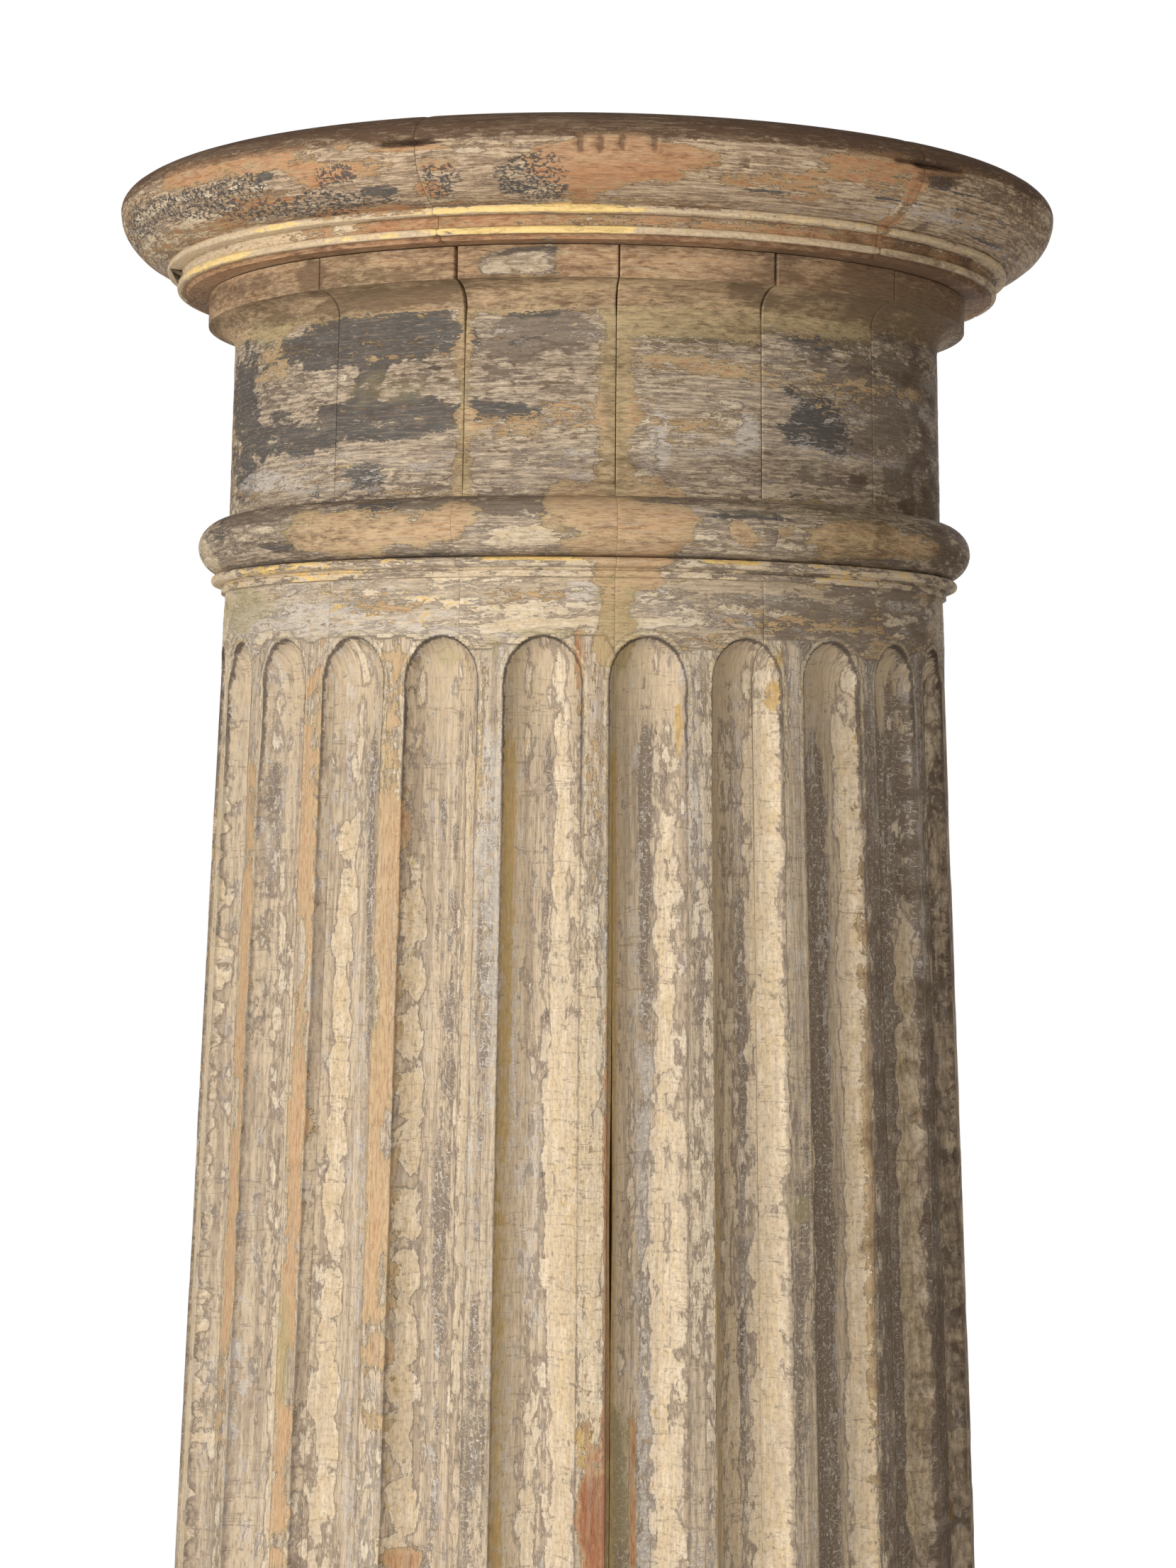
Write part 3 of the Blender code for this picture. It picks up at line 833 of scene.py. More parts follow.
class Pen:
    """Draws nodes into one node tree, left to right."""

    def __init__(self, tree: bpy.types.NodeTree) -> None:
        """Starts with an empty tree."""
        self.tree = tree
        self.tree.nodes.clear()

    def node(self, kind: str, inputs: dict | None = None, **settings: object) -> bpy.types.Node:
        """Adds a node.

        Args:
            kind: Blender's node type.
            inputs: Values or sockets, by the input's name or number.
            **settings: Values for the node's own properties.

        Returns:
            The node.
        """
        node = self.tree.nodes.new(kind)
        for name, value in settings.items():
            setattr(node, name, value)
        for name, value in (inputs or {}).items():
            self.feed(node.inputs[name], value)
        return node

    def feed(self, socket: Socket, value: object) -> None:
        """Links a socket to another, or sets its value.

        Args:
            socket: The input.
            value: An output socket, a number or a colour.
        """
        if isinstance(value, Socket):
            self.tree.links.new(value, socket)
        else:
            socket.default_value = value

    def math(self, operation: str, *values: object) -> Socket:
        """Adds a Math node and returns its output."""
        return self.node("ShaderNodeMath", dict(enumerate(values)), operation=operation).outputs[0]

    def mix(self, factor: object, first: object, second: object) -> Socket:
        """Mixes two colours, where factor is the share of the second."""
        return self.node("ShaderNodeMix", {0: factor, 6: first, 7: second}, data_type="RGBA").outputs[2]

    def lay(self, colour: object, tone: object, mask: object, strength: float) -> Socket:
        """Lays a tone over a colour where a mask shows."""
        return self.mix(self.math("MULTIPLY", mask, strength), colour, tone)

    def fleck(
            self, colour: object, tone: Colour, noise: Socket,
            low: float, high: float, most: float) -> Socket:
        """Lays a tone over a colour where a noise goes from low to high, up to a share of most."""
        return self.mix(self.spread(noise, low, high, 0.0, most), colour, tone)

    def stretch(self, vector: Socket, scale: Vector) -> Socket:
        """Scales a vector by three factors."""
        return self.node("ShaderNodeVectorMath", {0: vector, 1: scale}, operation="MULTIPLY").outputs[0]

    def noise(self, vector: Socket, detail: float, roughness: float, distortion: float = 0.0) -> Socket:
        """Adds a noise texture of scale one.

        Args:
            vector: Coordinates, already stretched.
            detail: Octaves.
            roughness: Strength of the fine octaves.
            distortion: How far the pattern swirls.

        Returns:
            The noise, from nought to one.
        """
        inputs = {
            "Vector": vector, "Scale": 1.0,
            "Detail": detail, "Roughness": roughness, "Distortion": distortion}
        return self.node("ShaderNodeTexNoise", inputs, noise_dimensions="2D").outputs[0]

    def spread(
            self, value: object, low: float, high: float,
            to_low: float = 0.0, to_high: float = 1.0) -> Socket:
        """Maps a value smoothly from one range to another."""
        inputs = dict(enumerate((value, low, high, to_low, to_high)))
        return self.node("ShaderNodeMapRange", inputs, interpolation_type="SMOOTHSTEP").outputs[0]

    def attribute(self, name: str) -> Socket:
        """Reads a number that the mesh carries at its points."""
        return self.node("ShaderNodeAttribute", attribute_name=name).outputs["Fac"]

    def group(self, tree: bpy.types.NodeTree, **inputs: object) -> dict[str, Socket]:
        """Places a node group and returns its outputs."""
        return self.node("ShaderNodeGroup", inputs, node_tree=tree).outputs


def tint(red: int, green: int, blue: int) -> Colour:
    """Turns a colour as a screen shows it, 0 to 255, into the linear values that shaders use.

    Args:
        red: Red share.
        green: Green share.
        blue: Blue share.

    Returns:
        Linear colour with full alpha.
    """
    def linear(share: int) -> float:
        """Linear value of one share."""
        value = share / 255.0
        return value / 12.92 if value <= 0.04045 else ((value + 0.055) / 1.055) ** 2.4

    return linear(red), linear(green), linear(blue), 1.0


def new_group(
        name: str, inputs: dict[str, object], outputs: tuple[str, ...]) -> tuple[Pen, dict, bpy.types.Node]:
    """Starts a shader node group.

    Args:
        name: The group's name.
        inputs: Default values by input name; a tuple of three makes a vector.
        outputs: Names of the outputs, all of them numbers.

    Returns:
        A pen for the group, its inputs by name and its output node.
    """
    tree = bpy.data.node_groups.new(name, "ShaderNodeTree")
    pen = Pen(tree)
    for label, value in inputs.items():
        kind = "NodeSocketVector" if isinstance(value, tuple) else "NodeSocketFloat"
        socket = tree.interface.new_socket(label, in_out="INPUT", socket_type=kind)
        if kind == "NodeSocketFloat":
            socket.default_value = value
    for label in outputs:
        tree.interface.new_socket(label, in_out="OUTPUT", socket_type="NodeSocketFloat")
    entry = pen.node("NodeGroupInput")
    return pen, {label: entry.outputs[label] for label in inputs}, pen.node("NodeGroupOutput")


def peel_group() -> bpy.types.NodeTree:
    """Builds the group that gives a layer's field a ragged edge, a thin rim along it and a halo inside it.

    Returns:
        The node group.
    """
    pen, given, out = new_group(
        "Peeling edge", {"Field": 0.0, "Ragged": 0.0, "Amount": 0.3, "Edge": 0.03, "Rim": 0.05},
        ("Mask", "Rim", "Halo"))
    moved = pen.math("MULTIPLY_ADD", given["Ragged"], given["Amount"], given["Field"])
    signed = pen.math("SUBTRACT", moved, 0.5)
    pen.feed(out.inputs["Mask"], pen.spread(pen.math("DIVIDE", signed, given["Edge"]), -1.0, 1.0))
    outside = pen.math("MULTIPLY_ADD", given["Rim"], 0.7, signed)
    away = pen.math("DIVIDE", pen.math("ABSOLUTE", outside), given["Rim"])
    pen.feed(out.inputs["Rim"], pen.spread(away, 1.0, 0.3))
    pen.feed(out.inputs["Halo"], pen.spread(signed, 0.30, 0.04))
    return pen.tree


def grain_group() -> bpy.types.NodeTree:
    """Builds the group of grain noises, which run up the shaft or round the mouldings.

    Returns:
        The node group.
    """
    outputs = ("Streak", "Fine", "Ragged", "Fleck", "Slab", "Seam")
    pen, given, out = new_group("Grain", {"Place": (0.0, 0.0, 0.0), "Level": 0.0}, outputs)

    def turned(upright: Vector, level: Vector) -> Socket:
        """Stretches the coordinates, upright on the shaft and level elsewhere.

        Args:
            upright: Factors on the shaft.
            level: Factors where the grain lies level.

        Returns:
            The stretched coordinates.
        """
        place = given["Place"]
        inputs = {0: given["Level"], 4: pen.stretch(place, upright), 5: pen.stretch(place, level)}
        return pen.node("ShaderNodeMix", inputs, data_type="VECTOR").outputs[1]

    pen.feed(out.inputs["Streak"], pen.noise(turned((280.0, 8.0, 0.0), (34.0, 560.0, 0.0)), 3.0, 0.66, 0.15))
    pen.feed(out.inputs["Fine"], pen.noise(turned((950.0, 100.0, 0.0), (100.0, 950.0, 0.0)), 3.0, 0.7))
    ragged = pen.noise(turned((380.0, 120.0, 0.0), (110.0, 380.0, 0.0)), 3.0, 0.74, 0.3)
    pen.feed(out.inputs["Ragged"], pen.math("MULTIPLY_ADD", ragged, 0.84, -0.42))
    pen.feed(out.inputs["Fleck"], pen.noise(turned((560.0, 330.0, 0.0), (330.0, 560.0, 0.0)), 3.0, 0.75))
    cells = {"Vector": turned((150.0, 52.0, 0.0), (40.0, 180.0, 0.0)), "Scale": 1.0, "Randomness": 0.9}
    slab = pen.node("ShaderNodeTexVoronoi", cells, voronoi_dimensions="2D", distance="CHEBYCHEV").outputs
    shade = pen.node("ShaderNodeSeparateColor", {0: slab["Color"]}).outputs[0]
    heart = pen.math("MULTIPLY_ADD", slab["Distance"], -1.6, 0.45)
    pen.feed(out.inputs["Slab"], pen.math("MULTIPLY_ADD", shade, 0.7, heart))
    check = pen.noise(turned((17.0, 120.0, 0.0), (120.0, 17.0, 0.0)), 2.0, 0.5)
    away = pen.math("ABSOLUTE", pen.math("SUBTRACT", check, 0.5))
    pen.feed(out.inputs["Seam"], pen.spread(away, 0.016, 0.004))
    return pen.tree


def crackle_group() -> bpy.types.NodeTree:
    """Builds the group of dried-out cracks, as a thin net and as rows of small loops.

    Returns:
        The node group.
    """
    pen, given, out = new_group("Crackle", {"Place": (0.0, 0.0, 0.0), "Fleck": 0.0}, ("Net", "Loops"))
    worm = pen.noise(pen.stretch(given["Place"], (230.0, 280.0, 0.0)), 1.0, 0.5)
    away = pen.math("ABSOLUTE", pen.math("SUBTRACT", worm, 0.5))
    whole = pen.spread(given["Fleck"], 0.42, 0.52)
    pen.feed(out.inputs["Net"], pen.math("MULTIPLY", pen.spread(away, 0.045, 0.015), whole))
    inputs = {"Vector": given["Place"], "Scale": 240.0, "Detail": 1.0}
    swirl = pen.node("ShaderNodeTexNoise", inputs, noise_dimensions="2D")
    shift = pen.stretch(swirl.outputs["Color"], (0.010, 0.008, 0.0))
    bent = pen.node("ShaderNodeVectorMath", {0: given["Place"], 1: shift}, operation="ADD").outputs[0]
    cells = {"Vector": pen.stretch(bent, (140.0, 215.0, 0.0)), "Scale": 1.0, "Randomness": 1.0}
    edge = pen.node("ShaderNodeTexVoronoi", cells, voronoi_dimensions="2D", feature="DISTANCE_TO_EDGE")
    width = pen.math("MULTIPLY_ADD", given["Fleck"], 0.90, -0.32)
    loops = pen.math("SUBTRACT", edge.outputs["Distance"], width)
    pen.feed(out.inputs["Loops"], pen.spread(loops, 0.05, -0.05))
    return pen.tree


@dataclass(frozen=True)
class OldPaint:
    """Finish of old paint worn through to the wood, with the tones of each layer."""

    name: str
    cream: Colour = tint(212, 194, 166)
    butter: Colour = tint(203, 181, 146)
    beige: Colour = tint(189, 171, 146)
    pale: Colour = tint(206, 197, 182)
    lilac: Colour = tint(176, 169, 165)
    grey: Colour = tint(164, 147, 126)
    dark: Colour = tint(124, 110, 97)
    soot_and_shadow: Colour = tint(86, 75, 66)
    slate: Colour = tint(72, 71, 70)
    tan: Colour = tint(184, 157, 122)
    orange: Colour = tint(184, 146, 110)
    rust: Colour = tint(148, 98, 68)
    yellow: Colour = tint(222, 186, 110)
    ochre: Colour = tint(182, 150, 92)
    olive: Colour = tint(158, 146, 106)
    grime: Colour = tint(78, 58, 42)

    def build(self, groups: dict[str, bpy.types.NodeTree]) -> bpy.types.Material:
        """Builds the material.

        Args:
            groups: The shared node groups by name.

        Returns:
            The material.
        """
        material = bpy.data.materials.new(self.name)
        material.use_nodes = True
        pen = Pen(material.node_tree)
        board = pen.node("ShaderNodeCombineXYZ", {0: pen.attribute("board")}).outputs[0]
        unrolled = pen.node("ShaderNodeUVMap", uv_map="Grain").outputs[0]
        place = pen.node("ShaderNodeVectorMath", {0: unrolled, 1: board}, operation="ADD").outputs[0]
        level = pen.attribute("level_grain")
        upright = pen.math("SUBTRACT", 1.0, level)
        calmer = pen.math("MULTIPLY_ADD", level, 0.35, 0.65)
        grain = pen.group(groups["grain"], Place=place, Level=level)
        crackle = pen.group(groups["crackle"], Place=place, Fleck=grain["Fleck"])

        def peel(
                layer: Layer, amount: object, edge: float,
                rim: float, slab: float = 0.0) -> dict[str, Socket]:
            """Gives one layer a ragged edge.

            Args:
                layer: The layer.
                amount: How far the noise moves its edge.
                edge: Half the width of its soft edge.
                rim: Width of the rim outside it.
                slab: How far whole flakes move its edge.

            Returns:
                Its mask, rim and halo.
            """
            value = pen.attribute(layer.value)
            if slab:
                value = pen.math("MULTIPLY_ADD", grain["Slab"], slab, value)
            return pen.group(
                groups["peel"], Field=value, Ragged=grain["Ragged"], Amount=amount, Edge=edge, Rim=rim)

        colour = self.weathered(pen, grain, level)
        # A lighter plain beige: painted light on the flute heads and left walls against their shade, and the
        # plain tone of the heads and the band.
        plain = pen.mix(pen.spread(grain["Ragged"], -0.14, 0.14), self.beige, self.butter)
        colour = pen.mix(pen.attribute("plain_and_lit"), colour, pen.mix(0.25, plain, self.grey))
        dark = peel(Layer.DARK, pen.math("MULTIPLY", calmer, 2.0), 0.12, 0.10, 0.22)
        deep = pen.mix(pen.spread(grain["Fine"], 0.38, 0.70), self.soot_and_shadow, self.dark)
        colour = pen.lay(colour, deep, dark["Mask"], 0.72)
        ink = pen.mix(pen.spread(grain["Fine"], 0.52, 0.80), self.slate, self.grey)
        ink = pen.fleck(ink, self.dark, grain["Streak"], 0.56, 0.70, 0.50)
        colour = pen.lay(colour, ink, peel(Layer.SLATE, 1.6, 0.09, 0.05)["Mask"], 0.90)
        chalk = pen.mix(pen.spread(grain["Fleck"], 0.4, 0.6), self.lilac, self.pale)
        colour = pen.lay(colour, chalk, peel(Layer.PALE, 2.6, 0.06, 0.05, 0.3)["Mask"], 0.6)
        web = pen.math("MULTIPLY", pen.math("MULTIPLY", crackle["Net"], dark["Mask"]), upright)
        colour = pen.lay(colour, self.pale, web, 0.70)
        paint = peel(Layer.PAINT, pen.math("MULTIPLY", calmer, 1.6), 0.08, 0.14, 0.42)
        cream = pen.mix(pen.spread(grain["Slab"], 0.10, 0.50), self.butter, self.cream)
        cream = pen.fleck(cream, self.beige, grain["Streak"], 0.42, 0.62, 0.8)
        cream = pen.fleck(cream, self.grey, grain["Fleck"], 0.48, 0.64, 0.50)
        cream = pen.lay(cream, self.pale, paint["Halo"], 0.30)
        colour = pen.lay(colour, self.dark, paint["Rim"], 0.65)
        colour = pen.lay(colour, cream, paint["Mask"], 0.90)
        broken = pen.math("MULTIPLY", grain["Seam"], pen.spread(grain["Fleck"], 0.40, 0.52))
        colour = pen.lay(colour, self.dark, pen.math("MULTIPLY", broken, upright), 0.55)
        warm = pen.mix(level, self.ochre, self.yellow)
        colour = pen.lay(colour, warm, peel(Layer.YELLOW, 2.0, 0.16, 0.05, 0.2)["Mask"], 0.80)
        bare = peel(Layer.BARE, 1.7, 0.035, 0.05)
        # A thin dark line round each bare patch: painted shadow of the paint's edge.
        colour = pen.lay(colour, self.soot_and_shadow, bare["Rim"], 0.70)
        colour = pen.mix(bare["Mask"], colour, self.wood(pen, grain, bare["Halo"]))
        loops = pen.math("MULTIPLY", crackle["Loops"], peel(Layer.NET, 1.8, 0.14, 0.1)["Mask"])
        colour = pen.lay(colour, self.slate, loops, 0.90)
        green = pen.math("MULTIPLY_ADD", grain["Ragged"], 1.3, pen.attribute(Layer.GREEN.value))
        colour = pen.lay(colour, self.olive, pen.spread(green, 0.2, 0.9), 0.50)
        colour, arris_line = self.edge_lines(pen, grain, colour)
        # Grime, with painted shade under the ring and down the column's right side.
        colour = pen.lay(colour, self.grime, peel(Layer.GRIME_AND_SHADE, 1.6, 0.45, 0.1)["Mask"], 0.75)
        colour = pen.fleck(colour, self.soot_and_shadow, grain["Fleck"], 0.64, 0.78, 0.30)
        fine = pen.spread(grain["Fine"], 0.28, 0.72, 1.10, 0.90)
        value = pen.math("MULTIPLY", fine, pen.spread(grain["Fleck"], 0.30, 0.70, 1.03, 0.97))
        colour = pen.node("ShaderNodeHueSaturation", {"Value": value, "Color": colour}).outputs[0]

        height = pen.math("MULTIPLY_ADD", paint["Mask"], 0.9, pen.math("MULTIPLY", grain["Streak"], 0.6))
        height = pen.math("MULTIPLY_ADD", grain["Fine"], 0.5, height)
        height = pen.math("MULTIPLY_ADD", bare["Mask"], -0.6, height)
        height = pen.math("MULTIPLY_ADD", arris_line, -0.8, height)
        bump = pen.node("ShaderNodeBump", {"Strength": 0.7, "Distance": 0.0006, "Height": height}).outputs[0]
        rough = pen.spread(grain["Fine"], 0.3, 0.7, 0.72, 0.92)
        shader = pen.node("ShaderNodeBsdfPrincipled", {
            "Base Color": colour, "Roughness": rough, "Specular IOR Level": 0.25, "Normal": bump})
        pen.node("ShaderNodeOutputMaterial", {0: shader.outputs[0]})
        return material

    def weathered(self, pen: Pen, grain: dict[str, Socket], level: Socket) -> Socket:
        """Colour of the old ground coat: soft upright streaks on the shaft, strong level ones elsewhere.

        Args:
            pen: The material's pen.
            grain: Outputs of the grain group.
            level: One where the streaks lie level.

        Returns:
            The colour.
        """
        soft = pen.mix(pen.spread(grain["Streak"], 0.40, 0.58), self.grey, self.beige)
        soft = pen.fleck(soft, self.dark, grain["Fine"], 0.50, 0.70, 0.42)
        soft = pen.fleck(soft, self.lilac, grain["Slab"], 0.45, 0.75, 0.40)
        strong = pen.mix(pen.spread(grain["Streak"], 0.36, 0.62), self.dark, self.beige)
        strong = pen.mix(0.30, strong, self.grey)
        strong = pen.fleck(strong, self.soot_and_shadow, grain["Fine"], 0.50, 0.70, 0.45)
        strong = pen.fleck(strong, self.cream, grain["Fleck"], 0.42, 0.30, 0.45)
        return pen.mix(level, soft, strong)

    def wood(self, pen: Pen, grain: dict[str, Socket], halo: Socket) -> Socket:
        """Colour of the bare wood, olive where old paint still stains its edge.

        Args:
            pen: The material's pen.
            grain: Outputs of the grain group.
            halo: One at the edge of a bare patch.

        Returns:
            The colour.
        """
        stain = pen.attribute(Layer.RUST.value)
        rust = pen.spread(pen.math("MULTIPLY_ADD", grain["Ragged"], 1.4, stain), 0.1, 1.0)
        deep = pen.spread(pen.math("MULTIPLY_ADD", grain["Ragged"], 1.0, stain), 0.8, 1.5)
        colour = pen.mix(deep, pen.mix(rust, self.tan, self.orange), self.rust)
        colour = pen.fleck(colour, self.grey, grain["Streak"], 0.46, 0.70, 0.45)
        colour = pen.fleck(colour, self.rust, grain["Fine"], 0.50, 0.72, 0.40)
        return pen.lay(colour, self.olive, halo, 0.40)

    def edge_lines(self, pen: Pen, grain: dict[str, Socket], colour: Socket) -> tuple[Socket, Socket]:
        """Draws the flutes' edges: a pale worn line outside, a dark line just inside.

        Args:
            pen: The material's pen.
            grain: Outputs of the grain group.
            colour: The colour so far.

        Returns:
            The new colour and the dark line's mask.
        """
        away = pen.math("MULTIPLY_ADD", grain["Ragged"], 0.0030, pen.attribute("arris"))
        near = pen.attribute("rim")

        def line(centre: float, half: float, strength: float) -> Socket:
            """Draws a thin line along the flutes' edges, stronger round their heads.

            Args:
                centre: Distance from the edge, in metres.
                half: Half the line's width.
                strength: Its strength.

            Returns:
                The line's mask.
            """
            apart = pen.math("ABSOLUTE", pen.math("SUBTRACT", away, centre))
            shown = pen.math("MULTIPLY", near, strength)
            return pen.math("MULTIPLY", pen.spread(apart, half, 0.3 * half), shown)

        broken = pen.spread(grain["Slab"], -0.1, 0.35, 0.35, 1.0)
        pale = pen.mix(pen.spread(grain["Fleck"], 0.40, 0.60), self.cream, self.olive)
        colour = pen.mix(pen.math("MULTIPLY", line(0.0022, 0.0011, 0.70), broken), colour, pale)
        colour = pen.mix(line(0.0040, 0.0007, 0.35), colour, self.dark)
        inner = line(-0.0001, 0.0009, 0.85)
        return pen.mix(inner, colour, self.soot_and_shadow), inner


@dataclass
class Sheet:
    """A skin bent from a flat grid: points by row and column, closed round its columns."""

    points: Array
    attributes: dict[str, Array]
    uv: Array

    def build(self, name: str, smooth_angle: float = 40.0) -> bpy.types.Object:
        """Adds a grid, bends it to the points, closes it and fills its two open ends.

        Args:
            name: Name of the piece.
            smooth_angle: Angle over which an edge stays sharp, in degrees.

        Returns:
            The closed piece, at the origin.
        """
        rows, columns = self.points.shape[:2]
        bpy.ops.object.select_all(action="DESELECT")
        bpy.ops.mesh.primitive_grid_add(x_subdivisions=columns - 1, y_subdivisions=rows - 1, size=1.0)
        piece = bpy.context.object
        piece.name = name
        piece.data.name = name
        mesh = piece.data
        flat = np.zeros(len(mesh.vertices) * 3)
        mesh.vertices.foreach_get("co", flat)
        flat = flat.reshape(-1, 3)
        order = np.lexsort((np.round(flat[:, 0], 6), np.round(flat[:, 1], 6)))
        bent = np.zeros_like(flat)
        bent[order] = np.clip(self.points.reshape(-1, 3), cad_box[0], cad_box[1])
        mesh.vertices.foreach_set("co", bent.ravel())
        for label, values in self.attributes.items():
            store = mesh.attributes.new(label, "FLOAT", "POINT")
            spread = np.zeros(len(flat))
            spread[order] = values.ravel()
            store.data.foreach_set("value", spread)
        corner = np.zeros(len(mesh.loops), dtype=int)
        mesh.loops.foreach_get("vertex_index", corner)
        place = np.zeros((len(flat), 2))
        place[order] = self.uv.reshape(-1, 2)
        while mesh.uv_layers:
            mesh.uv_layers.remove(mesh.uv_layers[0])
        layer = mesh.uv_layers.new(name="Grain")
        layer.data.foreach_set("uv", place[corner].ravel())
        mesh.update()
        self.close()
        bpy.ops.object.shade_smooth_by_angle(angle=math.radians(smooth_angle))
        return piece

    @staticmethod
    def close() -> None:
        """Welds the sheet's first and last columns, fills its ends and turns its faces outwards."""
        bpy.ops.object.mode_set(mode="EDIT")
        bpy.ops.mesh.select_all(action="SELECT")
        bpy.ops.mesh.remove_doubles(threshold=1e-6)
        bpy.ops.mesh.fill_holes(sides=0)
        bpy.ops.mesh.select_all(action="SELECT")
        bpy.ops.mesh.normals_make_consistent(inside=False)
        bpy.ops.object.mode_set(mode="OBJECT")


def around(radius: Array, angle: Array, z: Array) -> Array:
    """Points round the column's axis, at angles in degrees that count from the front to the right."""
    turn = np.radians(angle)
    return np.stack([radius * np.sin(turn), -radius * np.cos(turn), z * np.ones_like(turn)], axis=-1)


def arc(
        radius: float, level: float, reach: float, rise: float,
        turns: tuple[float, float], count: int) -> Array:
    """Points on an arc of a section, round a centre at the given radius and level.

    Args:
        radius: Radius of the arc's centre.
        level: Level of the arc's centre.
        reach: Half its width.
        rise: Half its height.
        turns: Its first and last angle, in degrees from straight outwards.
        count: How many points it has.

    Returns:
        Rows of radius and level.
    """
    turn = np.radians(np.linspace(*turns, count))
    return np.stack([radius + reach * np.cos(turn), level + rise * np.sin(turn)], axis=1)


def resample(line: Array, step: float) -> Array:
    """Divides a line of points evenly, keeping its own points.

    Args:
        line: Rows of radius and level.
        step: Longest distance between the new points.

    Returns:
        The finer line.
    """
    parts = [line[:1]]
    for start, end in zip(line[:-1], line[1:]):
        count = max(1, math.ceil(float(np.hypot(*(end - start))) / step))
        share = np.linspace(0.0, 1.0, count + 1)[1:, None]
        parts.append(start + (end - start) * share)
    return np.concatenate(parts)


def lengths(line: Array) -> Array:
    """Length along a line of points, from its start to each point."""
    return np.concatenate([[0.0], np.cumsum(np.hypot(*np.diff(line, axis=0).T))])


def margin(values: Array, edge: object) -> Array:
    """Adds the columns of a stave's joints and bore to those of its outer skin.

    Args:
        values: Values over the outer skin.
        edge: The value of the added columns.

    Returns:
        Values over all columns: one is added before the skin and two after it.
    """
    side = np.broadcast_to(edge, (len(values), 1))
    return np.concatenate([side, values, side, side], axis=1)


def flaking(fields: dict[Layer, Array], depth: float = 0.00025) -> Array:
    """How deep the surface lies where the paint has flaked off, in metres."""
    return depth * np.clip((0.5 - fields[Layer.PAINT]) * 4.0 + 0.5, 0.0, 1.0)


